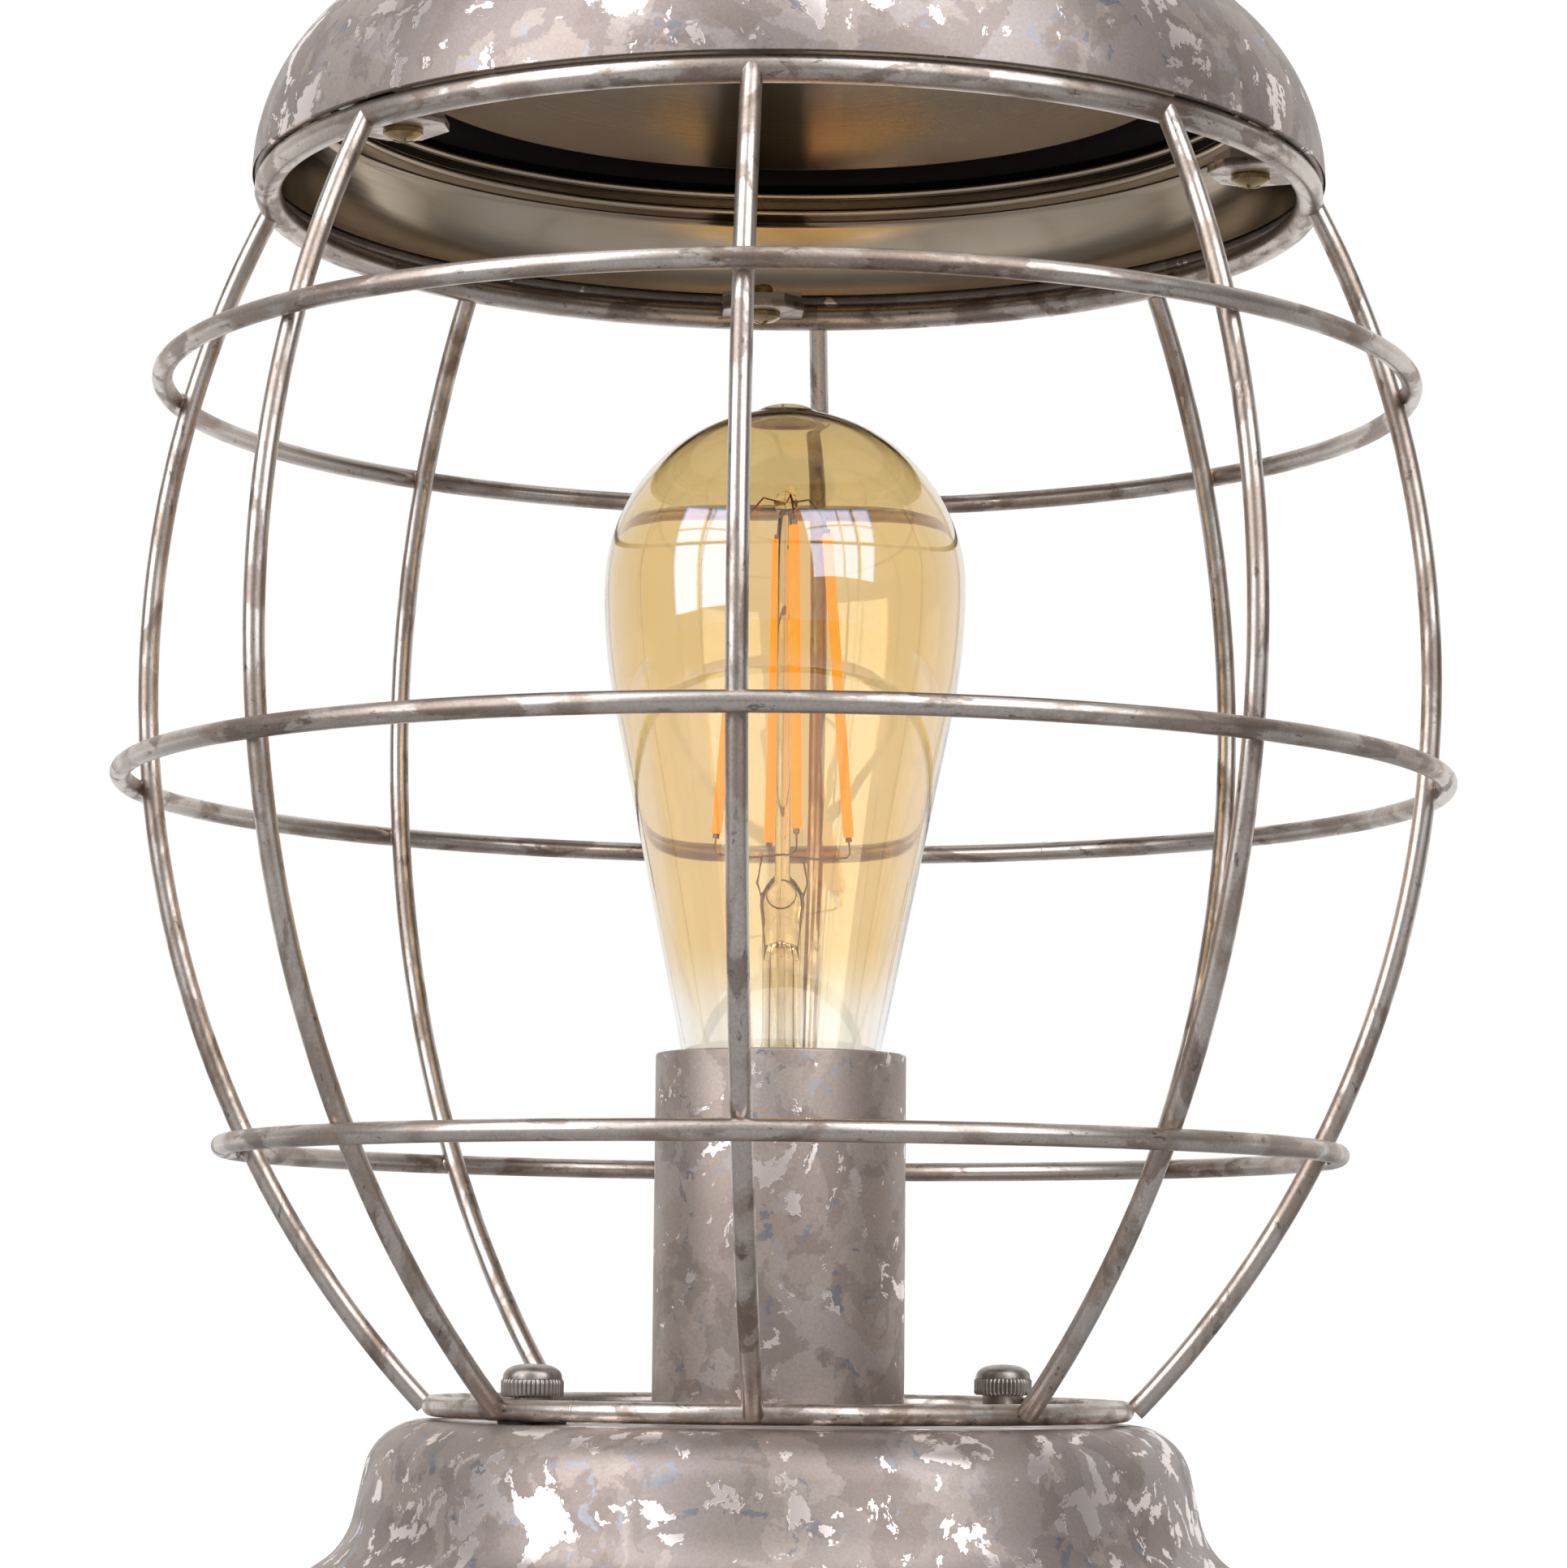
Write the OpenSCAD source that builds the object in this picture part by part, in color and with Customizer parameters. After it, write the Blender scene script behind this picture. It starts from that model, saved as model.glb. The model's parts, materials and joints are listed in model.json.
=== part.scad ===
// Caged lantern table lamp. A spun steel base carries a socket tube and a long
// pear-shaped filament bulb. A barrel cage of welded wire stands on the base,
// held by two thumb nuts, and carries a spun cap of the same form as the base.
// Origin: centre of the felt pad's underside, on the table. +Z is up, -Y the front.

/* [Spun shells] */
// Outer radius of the rim, the same on base and cap
rim_r = 95.8; // [90:0.2:102]
// Height of a shell from its rim to its flat top
shell_h = 55; // [51:0.5:59]
// Thickness of the steel sheet
shell_wall = 1; // [0.8:0.1:1.4]
// Radius of the rounded shoulder under the flat top
shoulder_r = 10.5; // [8:0.5:12]
// How far the wall leans out between shoulder and hollow
wall_lean = 1.2; // [0.8:0.1:2]
// Radius at which the hollow curve would be narrowest
hollow_waist_r = 73.1; // [71:0.1:76]
// Radius of the hollow curve above the skirt
hollow_r = 13; // [10:0.5:15]
// Radius of the bulging curve of the skirt
skirt_r = 36; // [32:1:40]
// Radius of the bead rolled inwards along the rim
hem_r = 1.2; // [1:0.1:1.5]

/* [Foot and weight] */
// Thickness of the felt pad
pad_t = 2; // [1.5:0.1:3]
// How far the pad stands out below the rim
pad_stand = 1; // [0.6:0.1:1.4]
// How far the pad's edge lies inside the weight's
pad_inset = 1; // [0.5:0.5:6]
// Gap between the weight and the rolled rim that it passes
weight_clear = 1.4; // [1:0.1:2]
// Thickness of the weight's web
weight_web = 5; // [4:0.5:6]
// Width of the weight's heavy outer ring
weight_ring_w = 16; // [12:1:24]
// Radius of the boss round the weight's bore
weight_boss_r = 15; // [13.5:0.5:20]
// Height of the boss
weight_boss_h = 12; // [11:0.5:14]
// Width of the channel that takes the cord under the weight
channel_w = 8; // [7:0.5:9]
// Height of that channel
channel_h = 6.5; // [6:0.5:7.5]
// Iron left round the channel where it passes under a rib
channel_rib = 4; // [3:0.5:6]

/* [Cord inlet] */
// Diameter of the hole in the base's back wall
inlet_hole_d = 10; // [9:0.5:11]
// Height of the hole's centre above the rim
inlet_h = 10; // [9:0.5:12]
// Diameter of the grommet's bore for the cord
grommet_bore_d = 6.6; // [6:0.2:7]
// Diameter of the grommet's flanges
grommet_flange_d = 14; // [13:0.5:15]
// Thickness of a flange
grommet_flange_t = 1.6; // [1.2:0.1:2]

/* [Pipe and socket] */
// Outer diameter of the threaded lamp pipe
pipe_d = 10; // [9:0.5:10.5]
// Bore of the lamp pipe
pipe_bore = 7; // [6:0.5:7.5]
// Width of the pipe's hexagon nuts across their flats
pipe_nut_af = 14; // [13:0.5:15]
// Thickness of a pipe nut
pipe_nut_t = 3.5; // [3:0.5:4]
// Diameter of the washers on the pipe
pipe_washer_d = 18; // [17:0.5:19]
// Thickness of those washers
pipe_washer_t = 1.2; // [1:0.1:1.4]
// Outer diameter of the socket tube
tube_d = 44; // [42.5:0.5:50]
// Height of the socket tube above the base
tube_h = 64; // [61:0.5:68]
// Wall of the socket tube
tube_wall = 1; // [0.8:0.1:1.2]
// Diameter of the socket's body
socket_d = 38; // [36:0.5:39]
// Height of the socket's body
socket_h = 35; // [34:0.5:37]
// Height of the socket's threaded neck
socket_neck_h = 6; // [5:0.5:7]
// Height of the neck's lower end above the base
socket_lift = 14; // [12:0.5:15]
// Depth of the hollow that takes the bulb's cap
socket_depth = 27; // [26:0.5:28]
// Bore of the brass screw shell
screw_shell_bore = 26.7; // [26.5:0.1:27]
// Thickness of the screw shell's brass
screw_shell_t = 0.5; // [0.4:0.1:0.6]

/* [Bulb] */
// Greatest diameter of the bulb
bulb_d = 64.2; // [62:0.2:66]
// Height of the widest section above the contact's tip
bulb_belly_h = 114.3; // [110:0.5:118]
// Radius of the curve that runs from the belly into the cone
bulb_flank_r = 110; // [100:5:130]
// Angle between the cone and the bulb's axis
bulb_cone_angle = 11.6; // [11:0.1:12.2]
// Height at which the cone turns in to the neck
bulb_neck_h = 31; // [30:0.5:33]
// Radius of that turn
bulb_neck_turn_r = 6; // [5:0.5:7]
// Thickness of the glass
bulb_glass_t = 0.9; // [0.7:0.1:1.2]
// How far the sealed tip stands above the dome
bulb_tip_h = 1.2; // [0.8:0.1:2]
// Diameter of the bulb's screw cap
bulb_cap_d = 26.1; // [25.9:0.1:26.2]
// Height of the cap's upper edge above the contact's tip
bulb_cap_h = 25.5; // [25:0.5:26.5]
// Pitch of the cap's thread
thread_pitch = 3.63; // [3.5:0.01:3.7]
// Number of filament sticks
filament_count = 4; // [2:1:6]
// Diameter of a filament stick
filament_d = 1.9; // [1.4:0.1:2.2]
// Height of the sticks' lower ends above the contact's tip
filament_low_h = 69.5; // [66:0.5:72]
// Height of their upper ends
filament_high_h = 125.5; // [118:0.5:128]
// Distance of the lower ends from the axis
filament_low_r = 12; // [9:0.5:14]
// Distance of the upper ends from the axis
filament_high_r = 7.5; // [5:0.5:10]

/* [Cage] */
// Number of upright wires
wire_count = 8; // [6:1:12]
// Diameter of the upright wires
wire_d = 3.6; // [3:0.1:4]
// Diameter of the hoops' wire
hoop_d = 3.6; // [3:0.1:4]
// Height of the cage from the lower ring to the upper ring
cage_h = 213.8; // [208:0.2:222]
// Radius of the upright wires at the belly
belly_r = 114.1; // [110:0.1:122]
// Radius of the lower ring
low_ring_r = 60.1; // [58:0.1:62]
// Wire diameter of the lower ring
low_ring_d = 3.6; // [3.2:0.1:4]
// Wire diameter of the upper ring
top_ring_d = 4.8; // [4.4:0.1:5.4]
// Inset of the upper ring's centre line from the shells' rim
top_ring_inset = 2.8; // [2.4:0.1:3.2]
// How far the uprights' centre line passes outside the lower ring's
foot_offset = 1.9; // [1.2:0.1:2.6]
// How far the uprights' centre line passes outside the upper ring's
head_offset = 0.6; // [0.2:0.1:1.4]
// Height of the lower hoop above the lower ring
low_hoop_h = 44.3; // [36:0.1:54]
// Height of the middle hoop above the lower ring
mid_hoop_h = 108.6; // [98:0.1:120]
// Height of the upper hoop above the lower ring
top_hoop_h = 178.8; // [168:0.1:188]
// How deep welded wires sink into each other
weld_depth = 0.3; // [0.2:0.05:0.5]
// Height of the lower ring's centre above the base
ring_lift = 2.4; // [2.3:0.1:3]

/* [Cage fixing] */
// Angles of the two thumb nuts, seen from above
nut_angles = [45, 225]; // [0:1:359]
// Distance of the thumb nuts from the lamp's axis
nut_r = 54.5; // [53:0.1:54.6]
// Thickness of the tabs
tab_t = 1.5; // [1.2:0.1:1.8]
// Width of the lower tabs
low_tab_w = 12; // [10:0.5:14]
// Diameter of the studs
stud_d = 4; // [3.5:0.1:4.2]
// Play between a stud and a thumb nut's bore, on the radius
nut_play = 0.05; // [0.02:0.01:0.1]
// Play between a stud and its holes, on the radius
hole_play = 0.2; // [0.1:0.05:0.3]
// Outer diameter of the fibre washers under the tabs
fibre_washer_d = 11.5; // [10:0.5:12]
// Diameter of a thumb nut over its knurling
thumb_nut_d = 10.5; // [9.5:0.1:10.8]
// Height of a thumb nut's knurled band
knurl_h = 2.6; // [2:0.1:3.2]
// Number of ridges in the knurling
knurl_count = 40; // [30:2:48]
// Depth of the knurling
knurl_depth = 0.35; // [0.2:0.05:0.4]
// Height of the dome above the band
thumb_dome_h = 2.9; // [2.4:0.1:3.2]

/* [Cap fixing] */
// Angles of the three upper tabs, seen from above
top_tab_angles = [97, 224, 344]; // [0:1:359]
// Width of the upper tabs and brackets
top_tab_w = 15.6; // [14:0.2:18]
// Inset of the cap's screws from the upper ring's centre line
cap_screw_inset = 8; // [7.4:0.1:9]
// Length of a tab inwards from the ring's centre line
top_tab_l = 14.5; // [13.5:0.5:16]
// Diameter of the cap's screws
cap_screw_d = 4; // [3.5:0.1:4.2]
// Diameter of their heads
cap_screw_head_d = 6.8; // [6.4:0.1:7.4]
// Height of their heads
cap_screw_head_h = 2.2; // [1.8:0.1:2.6]

/* [Reflector] */
// Thickness of the reflector's sheet
reflector_t = 0.8; // [0.6:0.1:0.8]
// Clearance between the reflector and the cap's skirt
reflector_gap = 0.3; // [0.2:0.05:0.4]
// Inset of the reflector's band from the cap's rim
reflector_inset = 10.8; // [10.8:0.2:13]
// Height of the band's lower edge above the cap's rim
reflector_band_h = 16.2; // [14:0.2:17]
// Height of the band's upper edge above the cap's rim
reflector_edge_h = 22.6; // [21:0.2:22.6]
// Width of the channel between the band and the middle
reflector_channel_w = 13; // [11:0.5:16]
// Depth of that channel
reflector_channel_h = 3; // [2:0.2:3]
// Rise of the domed middle above the band's upper edge
reflector_dome_rise = 5; // [3:0.5:6]
// Radius of the two beads on the band
reflector_bead_r = 0.9; // [0.6:0.1:1]

/* [Carrying ring] */
// Radius of the carrying ring
bail_r = 26; // [23:0.5:28]
// Diameter of its wire
bail_d = 5; // [4.4:0.1:5.4]
// Clearance of the ring's wire in its eye
bail_clear = 0.7; // [0.5:0.05:0.9]
// Radius of the eye's own section
eye_section_r = 2.5; // [2:0.1:3]
// Radius of the collar under the eye
collar_r = 9; // [8.5:0.5:10]
// Height of the collar
collar_h = 3; // [2.5:0.5:4]
// Diameter of the post through the cap
post_d = 6; // [5.5:0.1:6.4]

/* [Hidden] */
$fn = 96;
// Small gap between parts that touch along curved faces
fit_gap = 0.1;
// Overlap of a cutting body past the face that it cuts
cut = 1;

// Heights that stack up from the table
rim_z = pad_stand;
base_top_z = rim_z + shell_h;
ring_z = base_top_z + ring_lift;
top_ring_z = ring_z + cage_h;
cap_rim_z = top_ring_z + top_ring_d / 2;
cap_top_z = cap_rim_z + shell_h;
socket_z = base_top_z + socket_lift;
socket_body_z = socket_z + socket_neck_h;
socket_top_z = socket_body_z + socket_h;
socket_floor_z = socket_top_z - socket_depth;
// Space under the bulb's contact for the socket's spring contact
contact_space = 4.4;
bulb_z = socket_floor_z + contact_space;

// Centres and meeting points of the shells' outline, from the rim's plane up
flat_r = hollow_waist_r - wall_lean - shoulder_r;
shoulder_c = [flat_r, shell_h - shoulder_r];
skirt_c = [rim_r - skirt_r, 0];
hollow_x = hollow_waist_r + hollow_r;
hollow_c = [hollow_x, sqrt(pow(hollow_r + skirt_r, 2) - pow(hollow_x - skirt_c.x, 2))];
skirt_dir = (hollow_c - skirt_c) / norm(hollow_c - skirt_c);
wall_run = hollow_c - shoulder_c;
wall_angle = atan2(wall_run.y, wall_run.x) + acos((shoulder_r + hollow_r) / norm(wall_run));
wall_dir = [cos(wall_angle), sin(wall_angle)];

// Radius of a shell's skirt at height h, d inside its outer face
function skirt_at(h, d) = skirt_c.x + sqrt(pow(skirt_r - d, 2) - h * h);

// Circle that the uprights follow, through the foot, the belly and the head
foot_r = low_ring_r + foot_offset;
top_ring_r = rim_r - top_ring_inset;
head_r = top_ring_r + head_offset;
foot_rise = belly_r - foot_r;
head_ratio = (belly_r - head_r) / foot_rise;
head_term = cage_h * cage_h - (belly_r - head_r) * (head_r - foot_r);
arc_z = (cage_h - sqrt(cage_h * cage_h - (1 - head_ratio) * head_term)) / (1 - head_ratio);
arc_x = (belly_r + foot_r - arc_z * arc_z / foot_rise) / 2;
arc_r = belly_r - arc_x;
foot_angle = asin(-arc_z / arc_r);
head_angle = asin((cage_h - arc_z) / arc_r);
// The uprights' upper ends stop this far above the upper ring's centre line
head_over = 0.8;
head_over_angle = head_over / arc_r * 180 / PI;
hoop_reach = arc_r + wire_d / 2 + hoop_d / 2 - weld_depth;
function hoop_r(h) = arc_x + sqrt(pow(hoop_reach, 2) - pow(h - arc_z, 2));

// Foot and weight
weight_r = rim_r - 2 * hem_r - weight_clear;
weight_top_z = rim_z + sqrt(pow(skirt_r - shell_wall, 2) - pow(weight_r - skirt_c.x, 2)) - fit_gap;
// Counterbore in the weight's underside for the pipe's lower nut and washer
counterbore_gap = 1;
counterbore_r = pipe_washer_d / 2 + counterbore_gap;
counterbore_h = 7;
pipe_washer_z = pad_t + counterbore_h - pipe_washer_t;
pipe_nut_z = pipe_washer_z - pipe_nut_t;
// Length of pipe below its lower nut, and inside the socket's body
pipe_over = 0.8;
pipe_grip = 4;
pipe_end_z = pipe_nut_z - pipe_over;
pipe_top_z = socket_body_z + pipe_grip;
pipe_hole_gap = 0.2;
pipe_hole_d = pipe_d + 2 * pipe_hole_gap;
// Notch in the weight's ring that clears the grommet's inner flange
notch_gap = 1.5;
notch_w = grommet_flange_d + 2 * notch_gap;
notch_wall = 2;
notch_depth = weight_ring_w - notch_wall;

// Cord inlet, square to the skirt at its height
inlet_tilt = asin(inlet_h / skirt_r);
// The skirt's inner face curves in by this much at the flange's edge
grommet_flange_sag = pow(grommet_flange_d / 2, 2) / (2 * (skirt_r - shell_wall)) + fit_gap;
grommet_seat = skirt_r - shell_wall - grommet_flange_sag;
grommet_neck_d = inlet_hole_d - 2 * fit_gap;

// Socket
socket_r = socket_d / 2;
screw_shell_r = screw_shell_bore / 2 + screw_shell_t;
socket_bore_r = screw_shell_r + fit_gap / 2;
socket_neck_wall = 4;
// Step at the socket's mouth above the screw shell
mouth_step = 2;
screw_shell_h = socket_depth - mouth_step;
// Holes in the socket's floor for the wires, and in the screw shell's for the contact
wire_hole_d = pipe_bore - 1;
shell_hole_r = 10;
// Spring contact: width, thickness, foot, half the length of its tip, shift of its ramp
tongue_w = 6;
tongue_t = 0.5;
tongue_gap = 1.5;
tongue_foot_l = 3;
tongue_tip_y = 2;
tongue_ramp = 0.3;

// Bulb, from its contact's tip up
bulb_r = bulb_d / 2;
flank_c = [bulb_r - bulb_flank_r, bulb_belly_h];
cone_dir = [cos(bulb_cone_angle), -sin(bulb_cone_angle)];
flank_end = flank_c + cone_dir * bulb_flank_r;
neck_edge = [flank_end.x - (flank_end.y - bulb_neck_h) * tan(bulb_cone_angle), bulb_neck_h];
neck_c = neck_edge - cone_dir * bulb_neck_turn_r;
bulb_cap_r = bulb_cap_d / 2;
bulb_cap_wall = 1.1;
bulb_neck_r = bulb_cap_r - bulb_cap_wall - fit_gap;
// How far the glass neck reaches down into the cap
bulb_neck_grip = 7;
bulb_neck_low = bulb_cap_h - bulb_neck_grip;
tip_r = 9;
tip_z = bulb_belly_h + bulb_r + bulb_tip_h - tip_r;
thread_count = 4;
thread_low_h = 8;
groove_r = 1.5;
groove_depth = 0.6;
// Cap's inner radius, start of its taper, and the lip that holds the insulator
bulb_cap_in_r = bulb_cap_r - bulb_cap_wall;
taper_h = thread_low_h - 2;
taper_step = 0.4;
lip_h = 3.4;
lip_t = 0.5;
lip_r = bulb_cap_r - 2.9;
insulator_gap = 0.2;
button_h = 1.2;
button_r = 4.6;
button_bevel = 1;
button_margin = 0.4;
stem_tube_r = 3.4;
stem_bead_r = 4;
stem_bead_h = 58.7;
stem_rod_r = 1.5;
stem_knob_r = 2.2;
stem_over = 4.5;
stem_top_h = filament_high_h + stem_over;
stem_flare_gap = 1.5;
stem_flare_h = 14;
// Fine wires: radius, drop of the cross wires below the sticks, and their spare ends
lead_r = 0.3;
cross_drop = 2.8;
cross_over = 1;
cross_wire_h = filament_low_h - cross_drop;
filament_phase = 15;

// Cage fixing
fibre_washer_t = 0.5;
low_tab_z = base_top_z + fibre_washer_t;
low_tab_top_z = low_tab_z + tab_t;
// How far the tabs' outer edges reach into their ring's wire
tab_weld = 0.8;
low_tab_out_r = low_ring_r - low_ring_d / 2 + tab_weld;
stud_r = stud_d / 2;
stud_head_r = stud_d;
stud_head_h = 2.2;
// Gaps of the nut's band over the ring, of its waist inside it, and of stud and bore
band_gap = 0.3;
waist_gap = 0.15;
stud_gap = 0.5;
nut_bore_over = 0.8;
nut_band_z = ring_z + low_ring_d / 2 + band_gap;
nut_bore_top_z = nut_band_z + knurl_h + nut_bore_over;
stud_top_z = nut_bore_top_z - stud_gap;
thumb_nut_r = thumb_nut_d / 2;
nut_waist_r = low_ring_r - low_ring_d / 2 - nut_r - waist_gap;
// The dome starts on a small ledge inside the knurling
dome_ledge = 0.25;
dome_foot_r = thumb_nut_r - knurl_depth - dome_ledge;
dome_r = (pow(dome_foot_r, 2) + pow(thumb_dome_h, 2)) / (2 * thumb_dome_h);

// Cap fixing
cap_screw_r = top_ring_r - cap_screw_inset;
top_tab_z = top_ring_z - tab_t / 2;
top_tab_in_r = top_ring_r - top_tab_l;
top_tab_out_r = top_ring_r - top_ring_d / 2 + tab_weld;
bracket_z = top_tab_z + tab_t;
bracket_gap = 0.7;
bracket_step = 1;
bracket_out_r = top_ring_r - top_ring_d / 2 - bracket_gap;
bracket_foot_z = cap_rim_z + hem_r - tab_t / 2;
hem_weld = 0.3;
bracket_foot_r = rim_r - 2 * hem_r + hem_weld;
cap_screw_over = 2.5;
cap_screw_top_z = bracket_z + tab_t + cap_screw_over;
cap_screw_dome_r = 0.8 * cap_screw_head_d;
recess_w = 1;
recess_l = cap_screw_head_d / 2;

// Reflector, with heights above the cap's rim
reflector_reach = skirt_r - shell_wall - reflector_gap;
reflector_band_r = rim_r - reflector_inset;
reflector_foot_h = 2 * hem_r + fit_gap;
reflector_shelf_r = skirt_at(reflector_band_h, shell_wall + reflector_gap + reflector_t / 2);
reflector_bead_step = reflector_bead_r + fit_gap;
channel_half = reflector_channel_w / 2;
channel_arc_r = (pow(channel_half, 2) + pow(reflector_channel_h, 2)) / (2 * reflector_channel_h);
channel_c = [reflector_band_r - channel_half, reflector_edge_h + reflector_channel_h - channel_arc_r];
reflector_mid_r = reflector_band_r - reflector_channel_w;
reflector_dome_r = (pow(reflector_mid_r, 2) + pow(reflector_dome_rise, 2)) / (2 * reflector_dome_rise);
reflector_dome_c = [0, reflector_edge_h + reflector_dome_rise - reflector_dome_r];

// Carrying ring
eye_hole_r = bail_d / 2 + bail_clear;
eye_r = eye_hole_r + eye_section_r;
eye_sink = 0.8;
eye_z = cap_top_z + collar_h + eye_r + eye_section_r - eye_sink;
bail_rest_gap = 0.3;
bail_tilt = asin((eye_z - cap_top_z - bail_d / 2 - bail_rest_gap) / (2 * bail_r));
post_washer_t = 1.2;
post_nut_t = 4;
post_nut_wall = 2;
post_nut_af = post_d + 2 * post_nut_wall;
post_washer_z = cap_top_z - shell_wall - post_washer_t;
post_nut_z = post_washer_z - post_nut_t;
post_over = 1.5;
post_end_z = post_nut_z - post_over;

// Round rod of radius r between two points
module rod(from, to, r) {
    run = to - from;
    translate(from)
        rotate([0, acos(run.z / norm(run)), atan2(run.y, run.x)])
            cylinder(h = norm(run), r = r);
}

// Wire bent to a full circle of radius ring_r at height z
module wire_ring(ring_r, d, z) {
    translate([0, 0, z]) rotate_extrude() translate([ring_r, 0]) circle(d = d);
}

// Hexagon nut with its bore, resting on height z
module hex_nut(af, bore_d, t, z) {
    translate([0, 0, z]) difference() {
        cylinder(h = t, d = af / cos(30), $fn = 6);
        translate([0, 0, -cut]) cylinder(h = t + 2 * cut, d = bore_d);
    }
}

module washer(d, bore_d, t, z) {
    translate([0, 0, z]) difference() {
        cylinder(h = t, d = d);
        translate([0, 0, -cut]) cylinder(h = t + 2 * cut, d = bore_d);
    }
}

// Half section of a spun shell's filled form, d inside its outer face
module spun_section(d) {
    difference() {
        union() {
            polygon([
                [0, 0],
                [rim_r - d, 0],
                skirt_c + skirt_dir * (skirt_r - d),
                hollow_c - wall_dir * (hollow_r + d),
                shoulder_c + wall_dir * (shoulder_r - d),
                [flat_r, shell_h - d],
                [0, shell_h - d]
            ]);
            translate(shoulder_c) circle(r = shoulder_r - d);
            intersection() {
                translate(skirt_c) circle(r = skirt_r - d);
                square([rim_r, shell_h]);
            }
        }
        translate(hollow_c) circle(r = hollow_r + d);
    }
}

// Spun shell with its rim on height z, open below, with a rolled hem
module spun_shell(z) {
    translate([0, 0, z]) rotate_extrude() {
        difference() {
            spun_section(0);
            spun_section(shell_wall);
        }
        translate([rim_r - hem_r, hem_r]) circle(r = hem_r);
    }
}

// Places its children with +Z pointing out of the skirt at the cord inlet,
// their origin on the centre of the skirt's curve
module at_inlet() {
    translate([0, skirt_c.x, rim_z]) rotate([inlet_tilt - 90, 0, 0]) children();
}

module base_shell() color("#8d8580") {
    difference() {
        spun_shell(rim_z);
        translate([0, 0, base_top_z - 2 * shell_wall]) cylinder(h = 4 * shell_wall, d = pipe_hole_d);
        for (a = nut_angles) rotate(a) translate([nut_r, 0, base_top_z - 2 * shell_wall])
            cylinder(h = 4 * shell_wall, r = stud_r + fit_gap);
        at_inlet() cylinder(h = skirt_r + cut, d = inlet_hole_d);
    }
}

// Dished iron casting that nests in the skirt, with a covered channel for the cord
module base_weight() color("#3d3c3b") {
    difference() {
        union() {
            translate([0, 0, pad_t]) cylinder(h = weight_web, r = weight_r);
            translate([0, 0, pad_t]) cylinder(h = weight_boss_h, r = weight_boss_r);
            difference() {
                translate([0, 0, pad_t]) cylinder(h = weight_top_z - pad_t, r = weight_r);
                translate([0, 0, pad_t]) cylinder(h = weight_top_z, r = weight_r - weight_ring_w);
            }
            translate([-channel_w / 2 - channel_rib, 0, pad_t])
                cube([channel_w + 2 * channel_rib, weight_r - weight_ring_w + cut, channel_h + channel_rib]);
        }
        translate([0, 0, pad_t - cut]) cylinder(h = weight_boss_h + 2 * cut, d = pipe_hole_d);
        translate([0, 0, pad_t - cut]) cylinder(h = counterbore_h + cut, r = counterbore_r);
        translate([-channel_w / 2, 0, pad_t - cut])
            cube([channel_w, weight_r + cut, channel_h + cut]);
        translate([-notch_w / 2, weight_r - notch_depth, pad_t - cut])
            cube([notch_w, notch_depth + cut, weight_top_z]);
    }
}

module felt_pad() color("#2a2a2b") cylinder(h = pad_t, r = weight_r - pad_inset);

// Rubber bush snapped into the back wall, square to it
module cord_grommet() color("#1d1d1e") {
    at_inlet() difference() {
        union() {
            translate([0, 0, skirt_r]) cylinder(h = grommet_flange_t, d = grommet_flange_d);
            translate([0, 0, grommet_seat]) cylinder(h = skirt_r - grommet_seat, d = grommet_neck_d);
            translate([0, 0, grommet_seat - grommet_flange_t])
                cylinder(h = grommet_flange_t, d = grommet_flange_d);
        }
        translate([0, 0, grommet_seat - 2 * grommet_flange_t])
            cylinder(h = skirt_r, d = grommet_bore_d);
    }
}

module lamp_pipe() color("#b9b3a4") {
    translate([0, 0, pipe_end_z]) difference() {
        cylinder(h = pipe_top_z - pipe_end_z, d = pipe_d);
        translate([0, 0, -cut]) cylinder(h = pipe_top_z, d = pipe_bore);
    }
}

module pipe_nuts() color("#b9b3a4") {
    hex_nut(pipe_nut_af, pipe_d + fit_gap, pipe_nut_t, pipe_nut_z);
    hex_nut(pipe_nut_af, pipe_d + fit_gap, pipe_nut_t, base_top_z + tube_wall + pipe_washer_t);
}

module pipe_washers() color("#a8a49b") {
    washer(pipe_washer_d, pipe_hole_d, pipe_washer_t, pipe_washer_z);
    washer(pipe_washer_d, pipe_hole_d, pipe_washer_t, base_top_z + tube_wall);
}

// Drawn steel cup that stands on the base and hides the socket
module socket_tube() color("#8a827d") {
    translate([0, 0, base_top_z]) difference() {
        cylinder(h = tube_h, d = tube_d);
        translate([0, 0, tube_wall]) cylinder(h = tube_h, d = tube_d - 2 * tube_wall);
        translate([0, 0, -cut]) cylinder(h = tube_wall + 2 * cut, d = pipe_hole_d);
    }
}

module socket_body() color("#221f1d") {
    difference() {
        union() {
            translate([0, 0, socket_z]) cylinder(h = socket_neck_h + cut, r = pipe_d / 2 + socket_neck_wall);
            translate([0, 0, socket_body_z]) cylinder(h = socket_h, r = socket_r);
        }
        translate([0, 0, socket_floor_z]) cylinder(h = socket_depth + cut, r = socket_bore_r);
        translate([0, 0, socket_z - cut]) cylinder(h = pipe_top_z - socket_z + cut, d = pipe_d + fit_gap);
        translate([0, 0, socket_z]) cylinder(h = socket_floor_z, d = wire_hole_d);
    }
}

module socket_screw_shell() color("#c9a24a") {
    translate([0, 0, socket_floor_z]) difference() {
        cylinder(h = screw_shell_h, r = screw_shell_r);
        translate([0, 0, screw_shell_t]) cylinder(h = screw_shell_h, d = screw_shell_bore);
        translate([0, 0, -cut]) cylinder(h = 2 * cut, r = shell_hole_r);
    }
}

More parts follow.
